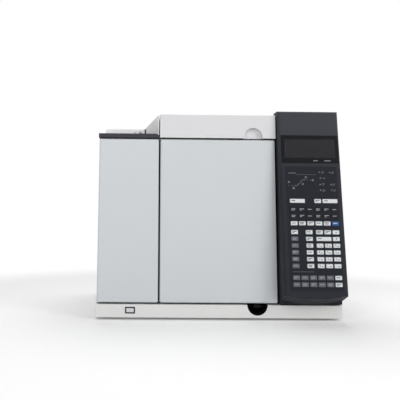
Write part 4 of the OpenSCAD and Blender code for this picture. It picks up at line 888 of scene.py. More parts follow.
class Model:
    """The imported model: its nodes, and where a line meets a node."""

    def __init__(self, loaded: dict) -> None:
        self.nodes: dict[str, bpy.types.Object] = loaded["nodes"]
        self.joints: list[dict] = loaded["joints"]
        self.bodies: dict[str, list[str]] = loaded["record"]["behaviour"]["bodies"]
        self.trees: dict[str, BVHTree] = {}

    def corners(self, node: str) -> tuple[Vector, Vector]:
        """Lowest and highest corner of a node, in millimetres."""
        low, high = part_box(node)
        return low / MM, high / MM

    def hit(self, node: str, start: Sequence[float], way: Sequence[float]) -> Vector | None:
        """Finds where a line first meets a node.

        Args:
            node: Name of the CAD node.
            start: Start of the line, in millimetres.
            way: Direction of the line.

        Returns:
            The point in millimetres, or None where the line misses.
        """
        if node not in self.trees:
            mesh = self.nodes[node].data
            faces = [tuple(p.vertices) for p in mesh.polygons]
            self.trees[node] = BVHTree.FromPolygons([v.co for v in mesh.vertices], faces)
        found = self.trees[node].ray_cast(Vector(start) * MM, Vector(way).normalized())[0]
        return None if found is None else found / MM

    def seats(self, node: str, starts: Iterable[Sequence[float]], way: Sequence[float],
              level: float | None = None,
              axis: int = 1) -> list[Matrix]:
        """Frames on a node's surface for fasteners, where the line lands at the right level.

        Args:
            node: Name of the CAD node.
            starts: Starts of the lines, in millimetres.
            way: Direction towards the surface.
            level: Coordinate that the surface has there, or None for any.
            axis: Which coordinate the level is.

        Returns:
            One frame for each start that lands, Z away from the surface.
        """
        frames = []
        for start in starts:
            point = self.hit(node, start, way)
            if point is None or (level is not None and abs(point[axis] - level) > 0.2):
                LOG.info("no seat on %s from %s", node, tuple(start))
                continue
            frames.append(turned(point, [-w for w in way]))
        return frames

    def dress(self, finishes: dict[str, Finish]) -> None:
        """Gives each named node its finish."""
        for name, finish in finishes.items():
            finish.dress(self.nodes[name])


# ------------------------------------------------------------------ sub-assemblies


@dataclass
class Cabinet:
    """Base, cover sheets, rear sheet and their fasteners."""

    model: Model
    screw_rows: tuple[float, ...] = (58.0, 190.0, 320.0)
    lower_xs: tuple[float, ...] = (-180.0, -60.0, 60.0, 180.0)
    upper_xs: tuple[float, ...] = (-150.0, -20.0, 100.0, 200.0)
    edge_in: float = 7.0
    lower_edge: float = 8.0
    sheet_top_in: float = 14.0
    sheet_rear_in: float = 12.0
    sheet_front_in: float = 14.0
    behind: float = 50.0
    beside: float = 340.0

    def dress(self) -> None:
        """Gives the cabinet's nodes their finishes."""
        self.model.dress({
            "feet": RUBBER, "base_pan": CABINET_PAINT, "base_fascia": BASE_WHITE_PAINTED_LIGHTER,
            "latch_cup": POCKET, "power_switch": BLACK, "power_button": KEY_WHITE,
            "left_side_panel": CABINET_PAINT, "right_side_panel": CABINET_PAINT,
            "rear_panel": CHASSIS, "chassis_frame": CHASSIS, "latch_lever": POCKET,
            "hinge_brackets": STEEL_PART,
        })

    def build(self) -> None:
        """Makes the screws of the cover and rear sheets."""
        low, high = self.model.corners("rear_panel")
        back, edges = high.y + self.behind, (low.x + self.edge_in, high.x - self.edge_in)
        shape = Shape()
        starts = [(x, back, z) for x in edges for z in self.screw_rows]
        starts += [(x, back, low.z + self.lower_edge) for x in self.lower_xs]
        starts += [(x, back, high.z - self.lower_edge) for x in self.upper_xs]
        for seat in self.model.seats("rear_panel", starts, (0, -1, 0), high.y):
            shape.screw(seat)
        for side, node in ((-1, "left_side_panel"), (1, "right_side_panel")):
            low, high = self.model.corners(node)
            ys = (high.y - self.sheet_rear_in, (low.y + high.y) / 2, low.y + self.sheet_front_in)
            level = low.x if side < 0 else high.x
            for z in (low.z + self.lower_edge, high.z - self.sheet_top_in):
                starts = [(side * self.beside, y, z) for y in ys]
                for seat in self.model.seats(node, starts, (-side, 0, 0), level, 0):
                    shape.screw(seat)
        shape.piece("cabinet_screws", SCREW, "cabinet")


@dataclass
class Door:
    """Oven door: facing panels, frame, liner and braided seal."""

    model: Model
    screw_in: float = 9.0
    screw_off: float = 100.0
    side_zs: tuple[float, float] = (160.0, 300.0)
    screw_r: float = 2.6
    screw_h: float = 1.2

    def dress(self) -> None:
        """Gives the door's nodes their finishes."""
        self.model.dress({
            "door_frame": BLACK, "door_panel_left": DOOR_GREY, "door_panel_right": DOOR_GREY,
            "door_insulation": WOOL, "door_liner": STAINLESS, "door_gasket": GASKET,
        })

    def build(self) -> None:
        """Makes the screws round the liner's edge."""
        low, high = self.model.corners("door_liner")
        middle = (low.x + high.x) / 2
        xs = (low.x + self.screw_in, middle - self.screw_off, middle + self.screw_off,
              high.x - self.screw_in)
        starts = [(x, 0, z) for x in xs for z in (low.z + self.screw_in, high.z - self.screw_in)]
        starts += [(x, 0, z) for x in (xs[0], xs[-1]) for z in self.side_zs]
        shape = Shape()
        for seat in self.model.seats("door_liner", starts, (0, -1, 0)):
            shape.screw(seat, self.screw_r, self.screw_h)
        shape.piece("door_screws", SCREW, "oven_door")


@dataclass
class Oven:
    """Oven cavity: liner, shroud, heater, fan, cage and capillary column."""

    model: Model
    screw_r: float = 2.8
    screw_h: float = 1.4
    screw_side_in: float = 7.0
    screw_end_in: float = 9.0
    screw_from_y: float = -60.0
    probe_r: float = 1.6
    probe_out: float = 34.0
    probe_right_in: float = 46.0
    probe_top_in: float = 34.0
    probe_nut: tuple[float, float, float] = (5.5, 4.0, 1.2)
    silica_r: float = 0.35
    silica_in: float = 1.2
    inlet_at: float = 152.0
    inlet_y: float = 14.0
    detector_at: float = 40.0
    detector_y: float = 24.0
    tie_half: float = 1.4
    tie_out: float = 2.0
    tie_in: float = 3.2
    tie_over: float = 0.7
    tie_off: float = 0.2
    tie_ease: float = 1.2
    tie_swell: float = 1.05

    def dress(self) -> None:
        """Gives the oven's nodes their finishes."""
        self.model.dress({
            "oven_insulation": WOOL, "oven_liner": STAINLESS, "fan_shroud": STAINLESS,
            "heater_coil": ELEMENT, "oven_fan_motor": ALLOY, "column_cage": STEEL_PART,
            "capillary_column": SILICA, "fan_wheel": STAINLESS,
        })

    def build(self) -> None:
        """Makes the shroud screws, temperature probe, column ends and ties."""
        self._screws()
        self._probe()
        self._column()

    def _screws(self) -> None:
        """Screws that hold the shroud."""
        low, high = self.model.corners("fan_shroud")
        xs = (low.x + self.screw_side_in, (low.x + high.x) / 2, high.x - self.screw_side_in)
        zs = (low.z + self.screw_end_in, high.z - self.screw_end_in)
        starts = [(x, self.screw_from_y, z) for x in xs for z in zs]
        shape = Shape()
        for seat in self.model.seats("fan_shroud", starts, (0, 1, 0), low.y):
            shape.screw(seat, self.screw_r, self.screw_h)
        shape.piece("shroud_screws", SCREW, "cabinet")

    def _probe(self) -> None:
        """Temperature probe through the shroud, with its nut."""
        low, high = self.model.corners("fan_shroud")
        seat = turned((high.x - self.probe_right_in, low.y + 0.2, high.z - self.probe_top_in),
                      (0, -1, 0))
        r, out = self.probe_r, self.probe_out
        rod = Shape().lathe([(r, -1), (r, out - 2), (r * 0.8, out - 0.6), (r * 0.3, out)], seat, 16)
        rod.nut(seat, *self.probe_nut).piece("oven_probe", STEEL_PART, "cabinet")

    def _column(self) -> None:
        """Ends of the capillary column, rising to an inlet and a detector, and its ties."""
        low, high = self.model.corners("capillary_column")
        middle, radius = (low + high) / 2, (high.x - low.x) / 2 - self.silica_in
        inlet, detector = self.model.corners("sample_inlets"), self.model.corners("flame_detectors")
        units = ((inlet[0], (inlet[0].x + inlet[1].x) / 2, self.inlet_y, self.inlet_at, 1),
                 (detector[0], 0.0, self.detector_y, self.detector_at, -1))
        shape = Shape()
        for foot, x, back, at, lean in units:
            port = Vector((x, foot.y + back, foot.z))
            a = math.radians(at)
            start = Vector((middle.x + radius * math.cos(a), low.y + 4,
                            middle.z + radius * math.sin(a)))
            tangent = Vector((-math.sin(a), 0, math.cos(a))) * -lean
            path = [start - tangent * 8, start + tangent * 26 + Vector((0, -8, 0)),
                    port + Vector((0, 4, -34)), port + Vector((0, 0, -8)), port + Vector((0, 0, 1))]
            shape.tube(path, self.silica_r, 8, 20)
        shape.piece("column_ends", SILICA, "cabinet")
        ties, reach = Shape(), radius + self.tie_off
        half = (high.y - low.y) / 2 + self.tie_over
        for k in range(4):
            a = math.radians(45 + 90 * k)
            along = Vector((-math.sin(a), 0, math.cos(a)))
            away = Vector((math.cos(a), 0, math.sin(a)))
            centre = Vector((middle.x + reach * math.cos(a), middle.y,
                             middle.z + reach * math.sin(a)))
            loop = [centre + away * c + Vector((0, half * s, 0))
                    for c, s in ((self.tie_out, -1), (self.tie_out, 1), (-self.tie_in, 1),
                                 (-self.tie_in, -1))]
            ring = eased(loop + [loop[0]], self.tie_ease)[:-1]
            inner = [[p + along * shift for p in ring] for shift in (-self.tie_half, self.tie_half)]
            outer = [[(p - centre) * self.tie_swell + centre + along * shift for p in ring]
                     for shift in (self.tie_half, -self.tie_half)]
            ties.loft(inner + outer, joined=True)
        ties.piece("column_ties", STEEL_PART, "cabinet")


@dataclass
class Deck:
    """Inlet deck and detector bay with their lines and leads."""

    model: Model
    line_r: float = 0.8
    lead_r: float = 2.0
    unit_ys: tuple[float, float] = (-126.5, -46.5)
    wing_front: tuple[float, float] = (-146.0, -190.0)
    wing_back: float = -178.0
    wing_t: float = 2.6
    wing_gap: float = 2.0
    wing_soft: float = 2.0
    wing_cut: float = 0.6
    line_pitch: float = 3.0
    unit_off: float = 9.5
    deck_z: float = 440.0
    deck_off: float = 16.0
    above: float = 520.0
    wall_y: float = 33.5
    wall_rise: float = 25.0
    before: float = -400.0
    lead_x: float = 104.0
    lead_pitch: float = 14.0
    lead_back: float = 44.0
    lead_rise: float = 20.0

    def dress(self) -> None:
        """Gives the deck's nodes their finishes."""
        self.model.dress({
            "inlet_deck": DECK, "sample_inlets": STEEL_PART, "sampler_post": DARK_STEEL,
            "flame_detectors": STEEL_PART, "cover_hinge": STEEL_PART, "detector_cover": COVER_WHITE,
            "pneumatics_cover": REAR_WHITE_PAINTED_LIGHTER, "flow_modules": ALLOY, "gas_fittings": BRASS,
        })

    def build(self) -> None:
        """Makes the gas lines of the inlets and the leads of the detectors."""
        low, high = self.model.corners("sample_inlets")
        x = (low.x + high.x) / 2
        above = (x + self.deck_off, self.unit_ys[0], self.above)
        deck = self.model.hit("inlet_deck", above, (0, 0, -1))
        floor = (deck.z if deck else self.deck_z) + self.line_r
        before = (x, self.before, floor + self.wall_rise)
        front = self.model.hit("pneumatics_cover", before, (0, 1, 0))
        wall = front.y if front else self.wall_y
        lines = Shape()
        for k, y in enumerate(self.unit_ys):
            for n in range(3):
                turn = x - 12 - self.line_pitch * n - self.unit_off * (1 - k)
                at = y - 3 + self.line_pitch * n
                path = [(x - 4, at, floor + 2.5), (x - 9, at, floor + 2.2), (turn, at, floor),
                        (turn, y + 12 + 2 * n, floor), (turn, wall + 2, floor)]
                lines.tube(path, self.line_r, 8, 4)
        lines.piece("inlet_lines", STEEL_PART, "cabinet")
        self._leads()
        self._wing(wall)

    def _wing(self, wall: float) -> None:
        """Fixed side wall of the rear cover, which spreads from the detector cover to the rear.

        Args:
            wall: Where the front of the rear cover stands, along Y.
        """
        foot = self.model.corners("inlet_deck")[1].z
        top = self.model.corners("pneumatics_cover")[1].z
        right = self.model.corners("detector_cover")[0].x - self.wing_gap
        rings = []
        for x, y in (self.wing_front, (self.wing_back, wall + 0.5)):
            inner, under = x + self.wing_t, top - self.wing_t
            soft, cut = self.wing_soft, self.wing_cut
            section = ((x, foot), (x, top - soft), (x + cut, top - cut), (x + soft, top),
                       (right, top), (right, under), (inner, under), (inner, foot))
            rings.append([Vector((a, y, z)) for a, z in section])
        Shape().loft(rings).piece("rear_cover_wing", REAR_WHITE_PAINTED_LIGHTER, "cabinet")

    def _leads(self) -> None:
        """Signal leads and grommets of the detectors."""
        right = self.model.corners("flame_detectors")[1].x
        plate = self.model.corners("chassis_frame")[1].z
        leads, grommets = Shape(), Shape()
        for k, y in enumerate(self.unit_ys):
            end = (self.lead_x - self.lead_pitch * k, y + self.lead_back, plate)
            level = plate + self.lead_rise
            path = [(right - 1, y, level), (right + 18, y, level), (end[0], y + 8, level),
                    (end[0], end[1], plate + 14), (end[0], end[1], plate + 0.5)]
            leads.tube(path, self.lead_r, 12, 12)
            grommets.lathe([(5.2, -0.2), (5.2, 1.4), (4.4, 2.4), (2.6, 2.8), (2.3, 2.2)],
                           turned(end, (0, 0, 1)), 24)
        leads.piece("detector_leads", SLEEVE, "cabinet")
        grommets.piece("lead_grommets", RUBBER, "cabinet")


@dataclass(frozen=True)
class Key:
    """One key: its centre and width on the console face, and how far it stands out."""

    u: float
    v: float
    wide: float
    top: float


class Face:
    """Frame of the leaning console face.

    u runs across from its left edge, and v runs up from the key plate's lower edge.
    """

    def __init__(self, model: Model) -> None:
        """Finds the frame from a key's joint and the key plate.

        Args:
            model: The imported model.
        """
        push = next(j for j in model.joints if j["name"] == "key_prep_push")
        self.out = -Vector(push["axis"]).normalized()
        self.across = Vector((1, 0, 0))
        self.up = self.out.cross(self.across).normalized()
        corners = [v.co / MM for v in model.nodes["keypad_plate"].data.vertices]
        left = model.corners("console_housing")[0].x
        self.origin = (self.across * left + self.up * min(p.dot(self.up) for p in corners)
                       + self.out * max(p.dot(self.out) for p in corners))
        self.level = max(p.dot(self.out) for p in corners)

    def at(self, u: float, v: float, proud: float = 0.0) -> Matrix:
        """A frame on the face, X across, Y up and Z out.

        Args:
            u: Place across the face.
            v: Place up the face.
            proud: How far the frame stands out of the face.

        Returns:
            The frame as a 4 by 4 matrix.
        """
        frame = Matrix((self.across, self.up, self.out)).transposed().to_4x4()
        frame.translation = self.origin + self.across * u + self.up * v + self.out * proud
        return frame

    def keys(self, model: Model, node: str) -> list[Key]:
        """Finds the keys of a node from its outermost faces.

        Args:
            model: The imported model.
            node: Name of the key node.

        Returns:
            The keys, from the lowest row up and from left to right.
        """
        mesh = bmesh.new()
        mesh.from_mesh(model.nodes[node].data)
        bmesh.ops.remove_doubles(mesh, verts=mesh.verts, dist=1e-6)
        top = max((v.co / MM).dot(self.out) for v in mesh.verts)
        faces = {f for f in mesh.faces
                 if min((v.co / MM).dot(self.out) for v in f.verts) > top - 0.05}
        keys = []
        while faces:
            island, edge = set(), [faces.pop()]
            while edge:
                face = edge.pop()
                island.add(face)
                near = {n for e in face.edges for n in e.link_faces if n in faces}
                faces -= near
                edge += list(near)
            points = [v.co / MM - self.origin for f in island for v in f.verts]
            us, vs = [p.dot(self.across) for p in points], [p.dot(self.up) for p in points]
            keys.append(Key((min(us) + max(us)) / 2, (min(vs) + max(vs)) / 2, max(us) - min(us),
                            top - self.level))
        mesh.free()
        return sorted(keys, key=lambda k: (round(k.v), k.u))


@dataclass
class Console:
    """Leaning control console: display, key plate, keys and lamps."""

    model: Model
    lamps: tuple[tuple[float, float], ...] = (
        (93.8, 274.5), (118.6, 274.0), (95.7, 260.4), (94.2, 245.0), (119.9, 245.0),
        (94.5, 231.5), (121.3, 232.0),
    )
    captions: tuple[tuple[float, float], ...] = (
        (103.0, 274.0), (127.0, 273.7), (104.4, 260.5), (103.0, 245.4), (127.5, 245.2),
        (103.3, 231.0), (129.0, 231.0),
    )
    one_line_caption: int = 2
    dots: tuple[tuple[float, float, float], ...] = (
        (20.5, 250.4, 2.4), (31.1, 236.0, 2.9), (61.2, 262.1, 2.6), (53.2, 246.1, 2.4),
        (77.3, 255.4, 2.6), (20.5, 242.0, 0.9), (27.7, 242.0, 0.9), (64.9, 255.3, 0.9),
        (71.7, 255.4, 0.9),
    )
    ramp: tuple[tuple[float, float], ...] = (
        (33.4, 241.8), (39.6, 241.9), (53.2, 255.8), (59.9, 256.5),
    )
    rules: tuple[tuple[float, float, float, float], ...] = (
        (28.7, 272.0, 18.6, 1.8), (61.5, 268.4, 47.0, 0.6), (44.2, 43.5, 49.7, 0.8),
    )
    dashes: tuple[tuple[float, float], ...] = ((86.5, 11.5), (115.0, 15.0))
    dash_v: float = 302.0
    dash_out: float = 0.3
    dash_high: float = 1.5
    ink: float = 0.06
    sunk: float = 0.01
    figure_high: float = 6.8
    figure_off: float = 2.6
    wide_key: float = 25.0
    arrow_rows: tuple[int, ...] = (0, 1)
    digit_rows: tuple[int, ...] = (2, 3, 4, 5)
    glass_in: float = 6.0
    glass_t: float = 0.7
    glass_back: float = 3.2
    face: Face = field(init=False)

    def __post_init__(self) -> None:
        """Finds the face's frame."""
        self.face = Face(self.model)

    def dress(self) -> None:
        """Gives the console's nodes their finishes."""
        self.model.dress({
            "console_housing": CONSOLE, "display_bezel": BEZEL, "display_window": WINDOW,
            "keypad_plate": KEYPAD, "console_board": BOARD, "key_prep": KEY_WHITE,
            "key_stop": KEY_WHITE, "key_start": KEY_WHITE, "keys_function": KEY_BLACK,
            "keys_mode": KEY_WHITE, "key_shift": KEY_BLUE, "keys_menu": KEY_GREY,
            "keys_number": KEY_WHITE, "keys_program": KEY_GREY,
        })

    def build(self) -> None:
        """Makes the legends, lamps, printed marks and the display behind its window."""
        self._legends()
        self._marks()
        self._lamps()
        self._display()

    def _bar(self, shape: Shape, u: float, v: float, wide: float, high: float,
             proud: float = 0.0) -> None:
        """Adds a printed bar centred on the face."""
        shape.prism(rounded(wide, high, min(wide, high) * 0.3, 2), self.ink,
                    self.face.at(u, v, proud - self.sunk))

    def _legends(self) -> None:
        """Prints bars for words, and plain figures on the number block."""
        inks = {"keys_function": INK_LIGHT, "key_shift": INK_WHITE, "keys_menu": INK_LIGHT,
                "keys_program": INK_LIGHT}
        for body, nodes in self.model.bodies.items():
            for node in nodes:
                if not node.startswith("key") or node == "keypad_plate":
                    continue
                shape = Shape()
                keys = self.face.keys(self.model, node)
                for number, key in enumerate(keys):
                    self._legend(shape, node, number, key, keys)
                shape.piece(node + "_legends", inks.get(node, INK_DARK), body)

    def _legend(self, shape: Shape, node: str, number: int, key: Key, keys: list[Key]) -> None:
        """Prints one key's legend.

        Args:
            shape: The shape it is added to.
            node: Name of the key node.
            number: Place of the key in its group.
            key: The key.
            keys: Every key of the group.
        """
        figures = self._figure(node, key, keys)
        if figures in ("up", "down"):
            tip = 1 if figures == "up" else -1
            shape.prism([(-2.2, -1.5 * tip), (2.2, -1.5 * tip), (0.0, 1.9 * tip)][::tip], self.ink,
                        self.face.at(key.u, key.v, key.top - self.sunk))
        elif figures:
            place = self.face.at(key.u - self.figure_off, key.v + 0.4, key.top + 0.02)
            shape.figure(figures, self.figure_high, place)
            self._bar(shape, key.u + self.figure_off, key.v - 1.2, key.wide * 0.3, 1.4, key.top)
        elif key.wide > self.wide_key:
            self._bar(shape, key.u - key.wide * 0.28, key.v + 0.6, key.wide * 0.24, 1.9, key.top)
        else:
            self._words(shape, key, number + len(node))

    def _words(self, shape: Shape, key: Key, number: int) -> None:
        """Prints one or two lines of bars that start at the key's left.

        Args:
            shape: The shape they are added to.
            key: The key.
            number: Picks the lengths of the lines.
        """
        left = key.u - key.wide * 0.36
        lines = ((1.7, 0.56 + 0.06 * (number % 3)), (-1.3, 0.34 + 0.1 * ((number + 1) % 3)))
        for rise, share in lines if number * 7 % 3 else ((0.6, 0.6),):
            self._bar(shape, left + key.wide * share / 2, key.v + rise, key.wide * share, 1.6,
                      key.top)

    def _figure(self, node: str, key: Key, keys: list[Key]) -> str:
        """Says which figure a key of the number block carries.

        Args:
            node: Name of the key node.
            key: The key.
            keys: Every key of the group.

        Returns:
            The figure, the word up or down, or an empty string.
        """
        if node != "keys_number":
            return ""
        rows = sorted({round(k.v) for k in keys}, reverse=True)
        columns = sorted({round(k.u) for k in keys
                          if k.wide < self.wide_key and rows.index(round(k.v)) in self.digit_rows})
        row, column = rows.index(round(key.v)), round(key.u)
        if row in self.digit_rows and column in columns[1:]:
            figures = ("789", "456", "123", "0.-")[self.digit_rows.index(row)]
            return figures[columns[1:].index(column)]
        if row in self.arrow_rows and column == columns[-1] and key.wide < self.wide_key:
            return ("up", "down")[row]
        return ""

    def _marks(self) -> None:
        """Prints the marks of the status field and the dashes under the display."""
        shape = Shape()
        for number, (u, v) in enumerate(self.captions):
            lines = ((1.4, 7.0), (-1.4, 5.0 + number % 3))
            if number == self.one_line_caption:
                lines = ((0.0, 7.5),)
            for rise, wide in lines:
                self._bar(shape, u - 4.5 + wide / 2, v + rise, wide, 1.2)
        for u, v, radius in self.dots:
            self._bar(shape, u, v, radius * 2, radius * 1.8)
        for (u0, v0), (u1, v1) in zip(self.ramp, self.ramp[1:]):
            frame = self.face.at((u0 + u1) / 2, (v0 + v1) / 2, -self.sunk)
            spin = Matrix.Rotation(math.atan2(v1 - v0, u1 - u0), 4, "Z")
            shape.prism(rounded(math.hypot(u1 - u0, v1 - v0) + 1.0, 1.3, 0.5, 2), self.ink,
                        frame @ spin)
        for rule in self.rules:
            self._bar(shape, *rule)
        shape.piece("panel_marks", INK_DIM, "cabinet")
        dashes = Shape()
        for u, wide in self.dashes:
            self._bar(dashes, u, self.dash_v, wide, self.dash_high, self.dash_out)
        dashes.piece("bezel_marks", INK_LIGHT, "cabinet")

    def _lamps(self) -> None:
        """Status lamps with domed lenses."""
        shape = Shape()
        for u, v in self.lamps:
            shape.lathe([(1.5, -0.2), (1.5, 0.15), (1.2, 0.45), (0.7, 0.6), (0.2, 0.65)],
                        self.face.at(u, v), 20)
        shape.piece("status_lamps", LENS, "cabinet")

    def _display(self) -> None:
        """Display glass on its module, behind the window."""
        inner = [v.co / MM for v in self.model.nodes["display_window"].data.vertices]
        us = [(p - self.face.origin).dot(self.face.across) for p in inner]
        vs = [(p - self.face.origin).dot(self.face.up) for p in inner]
        u, v = (min(us) + max(us)) / 2, (min(vs) + max(vs)) / 2
        wide, tall = max(us) - min(us) - self.glass_in, max(vs) - min(vs) - self.glass_in
        glass = Shape().prism(rounded(wide, tall, 1.0), self.glass_t,
                              self.face.at(u, v, -self.glass_back), 0.2)
        glass.piece("display_panel", PANEL, "cabinet")


@dataclass
class Rear:
    """Rear services: ducts, fan, connectors, mains inlet and electronics."""

    model: Model
    fan_screw_in: float = 5.0
    fan_screw_h: float = 1.8
    fan_screw_r: float = 3.4
    shell_z: float = 13.0
    shell_pitch: float = 27.0
    contact_pitch: float = 2.7
    contact_row: float = 1.4
    jack_off: float = 13.5
    jack_in: float = 5.0
    pin: tuple[float, float, float] = (2.3, 4.3, 12.9)
    pin_pitch: float = 7.0
    pin_in: float = 16.4
    stud_off: float = 42.0

    def dress(self) -> None:
        """Gives the rear nodes their finishes."""
        self.model.dress({
            "exhaust_duct": STAINLESS, "intake_duct": STAINLESS, "oven_flaps": STAINLESS,
            "flap_motor": ALLOY, "main_board": BOARD, "power_supply": CHASSIS,
            "transformer": COPPER, "cooling_fan_frame": BLACK, "cooling_rotor": BLACK,
            "rear_connectors": CHASSIS, "power_inlet": BLACK,
        })

    def build(self) -> None:
        """Makes the fan screws, connector inserts, inlet pins and ground stud."""
        self._fan()
        self._connectors()
        self._inlet()

    def _fan(self) -> None:
        """Screws of the cooling fan."""
        low, high = self.model.corners("cooling_fan_frame")
        back = self.model.corners("rear_panel")[1].y
        shape = Shape()
        for x in (low.x + self.fan_screw_in, high.x - self.fan_screw_in):
            for z in (low.z + self.fan_screw_in, high.z - self.fan_screw_in):
                shape.screw(turned((x, back, z), (0, 1, 0)), self.fan_screw_r, self.fan_screw_h)
        shape.piece("fan_screws", SCREW, "cabinet")

    def _connectors(self) -> None:
        """Inserts with contacts, and jack screws, of the three shell connectors."""
        low, high = self.model.corners("rear_connectors")
        x = (low.x + high.x) / 2
        inserts, pins, jacks = Shape(), Shape(), Shape()
        for k in range(3):
            z = low.z + self.shell_z + self.shell_pitch * k
            face = turned((x, high.y - 0.05, z), (0, 1, 0))
            inserts.prism(rounded(15.0, 7.0, 2.4), 0.6, face, 0.2)
            for row, count in ((-1, 4), (1, 5)):
                for n in range(count):
                    across = (n - (count - 1) / 2) * self.contact_pitch
                    at = face @ Vector((across, row * self.contact_row, 0.5))
                    pins.lathe([(0.5, 0), (0.5, 0.9), (0.25, 1.2)], turned(at, (0, 1, 0)), 10)
            for side in (-1, 1):
                place = turned((x + side * self.jack_off, high.y - self.jack_in, z), (0, 1, 0))
                jacks.nut(place, 2.9, 4.0, 1.3)
        inserts.piece("connector_inserts", BLACK, "cabinet")
        pins.piece("connector_pins", GOLD, "cabinet")
        jacks.piece("connector_jacks", SCREW, "cabinet")

    def _inlet(self) -> None:
        """Metal sleeves on the three pins of the mains inlet, and the ground stud beside it."""
        low, high = self.model.corners("power_inlet")
        x, z = (low.x + high.x) / 2, (low.z + high.z) / 2
        shape = Shape()
        for k in (-1, 0, 1):
            place = turned((x + self.pin_pitch * k, high.y - self.pin_in, z), (0, 1, 0))
            shape.prism(rounded(self.pin[0], self.pin[1], 0.5), self.pin[2], place, 0.6)
        shape.piece("inlet_pins", SCREW, "cabinet")
        back = self.model.corners("rear_panel")[1].y
        seat, washer = turned((x - self.stud_off, back, z), (0, 1, 0)), 0.8
        stud = Shape().lathe([(5.5, 0), (5.5, washer), (2.2, washer), (2.2, 9.0), (1.7, 9.6)], seat)
        stud.nut(turned((x - self.stud_off, back + washer, z), (0, 1, 0)), 4.2, 3.2, 2.0)
        stud.piece("ground_stud", BRASS, "cabinet")


# ------------------------------------------------------------------ studio


@dataclass
class Lamp:
    """A soft area light."""

    name: str
    place_m: tuple[float, float, float]
    target_m: tuple[float, float, float]
    size_m: float
    watts: float

    def build(self) -> None:
        """Makes the light and aims it."""
        data = bpy.data.lights.new(self.name, "AREA")
        data.shape, data.size, data.energy = "DISK", self.size_m, self.watts
        made = bpy.data.objects.new(self.name, data)
        made.location = self.place_m
        ahead = Vector(self.target_m) - Vector(self.place_m)
        made.rotation_euler = ahead.to_track_quat("-Z", "Y").to_euler()
        bpy.context.scene.collection.objects.link(made)


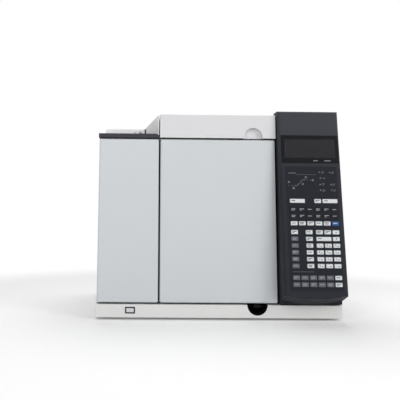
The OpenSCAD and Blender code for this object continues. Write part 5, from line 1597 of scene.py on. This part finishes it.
@dataclass
class Studio:
    """Pale floor, even surroundings, soft lights and the camera."""

    floor_m: float = 9.0
    floor_white: float = 0.96
    near_m: float = 0.75
    far_m: float = 1.15
    ambient: float = 0.33
    lift: float = 0.12
    lamps: tuple[Lamp, ...] = (
        Lamp("Key", (-0.9, -2.6, 1.6), (0.0, -0.1, 0.3), 1.5, 24.5),
        Lamp("Fill", (2.15, -2.2, 1.35), (0.0, -0.1, 0.3), 1.5, 29.0),
        Lamp("Top", (0.0, 0.75, 2.4), (0.0, -0.1, 0.1), 1.6, 24.0),
    )
    lens: float = 50.226
    sensor: float = 36.0
    clip_m: tuple[float, float] = (0.02, 60.0)
    yaw: float = 0.013407
    pitch: float = 0.126326
    roll: float = 0.0085342
    place_m: tuple[float, float, float] = (-0.17894, -1.54983, 0.24650)
    shift: tuple[float, float] = (0.12, -0.1425)

    def build(self) -> None:
        """Makes the studio."""
        self._floor()
        self._world()
        for lamp in self.lamps:
            lamp.build()
        self._camera()
        bpy.context.scene.view_settings.view_transform = "Standard"

    @staticmethod
    def _seen(t: Tree) -> bpy.types.NodeSocket:
        """Tells the rays that reach the camera from those that light the object.

        Args:
            t: The material's or the world's tree.

        Returns:
            1 for what the camera sees directly, in gloss or through glass, and 0 otherwise.
        """
        rays = t.add("LightPath").outputs
        gloss = t.math("MAXIMUM", rays["Is Camera Ray"], rays["Is Glossy Ray"])
        return t.math("MAXIMUM", gloss, rays["Is Transmission Ray"])

    def _floor(self) -> None:
        """A round floor that shows the object's shadow near it and is plain white farther off."""
        mesh = bmesh.new()
        bmesh.ops.create_circle(mesh, cap_ends=True, segments=96, radius=self.floor_m)
        data = bpy.data.meshes.new("floor")
        mesh.to_mesh(data)
        mesh.free()
        floor = bpy.data.objects.new("floor", data)
        bpy.context.scene.collection.objects.link(floor)
        look = bpy.data.materials.new("Studio floor")
        look.use_nodes = True
        t = Tree(look.node_tree)
        white = self.floor_white
        tone = t.group(Effect.DRIFT, Colour=(white, white, white * 0.998, 1.0), Amount=0.01,
                       Size=0.8)
        glow = t.put(t.add("Emission"), Color=(1, 1, 1, 1), Strength=1.0)
        matt = t.put(t.add("BsdfDiffuse"), Color=tone.outputs[0])
        raised = t.put(t.add("Emission"), Color=(1, 1, 1, 1),
                       Strength=t.math("MULTIPLY", self._seen(t), self.lift))
        near = t.put(t.add("AddShader"), i0=matt.outputs[0], i1=raised.outputs[0])
        parts = t.split(t.here())
        away = t.math("SQRT", t.math("ADD", t.math("POWER", parts[0], 2.0),
                                     t.math("POWER", parts[1], 2.0)))
        share = t.math("MULTIPLY", t.remap(away, self.near_m, self.far_m), self._seen(t))
        both = t.put(t.add("MixShader"), i0=share, i1=near.outputs[0], i2=glow.outputs[0])
        t.put(t.add("OutputMaterial"), Surface=both.outputs[0])
        data.materials.append(look)

    def _world(self) -> None:
        """Even grey surroundings that show as white."""
        world = bpy.data.worlds.new("Studio")
        bpy.context.scene.world = world
        world.use_nodes = True
        t = Tree(world.node_tree)
        level = t.math("MULTIPLY_ADD", self._seen(t), 1.0 - self.ambient, self.ambient)
        sky = t.put(t.add("Background"), Color=(1, 1, 1, 1), Strength=level)
        t.put(t.add("OutputWorld"), Surface=sky.outputs[0])

    def _camera(self) -> None:
        """The camera at the viewing angle."""
        ahead = Vector((math.sin(self.yaw) * math.cos(self.pitch),
                        math.cos(self.yaw) * math.cos(self.pitch),
                        math.sin(self.pitch)))
        right = Vector((math.cos(self.yaw), -math.sin(self.yaw), 0))
        up = right.cross(ahead)
        c, s = math.cos(self.roll), math.sin(self.roll)
        frame = Matrix((right * c + up * s, up * c - right * s, -ahead)).transposed().to_4x4()
        frame.translation = Vector(self.place_m)
        data = bpy.data.cameras.new("Camera")
        data.lens, data.sensor_width = self.lens, self.sensor
        data.shift_x, data.shift_y = self.shift
        data.clip_start, data.clip_end = self.clip_m
        made = bpy.data.objects.new("Camera", data)
        made.matrix_world = frame
        bpy.context.scene.collection.objects.link(made)
        bpy.context.scene.camera = made


def main() -> None:
    """Builds the studio and every sub-assembly."""
    logging.basicConfig(level=logging.INFO, format="%(name)s: %(message)s")
    model = Model(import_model())
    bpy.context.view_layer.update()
    Studio().build()
    for assembly in (Cabinet(model), Door(model), Oven(model), Deck(model), Console(model),
                     Rear(model)):
        assembly.dress()
        assembly.build()
        LOG.info("built %s", type(assembly).__name__)


if __name__ == "__main__":
    main()
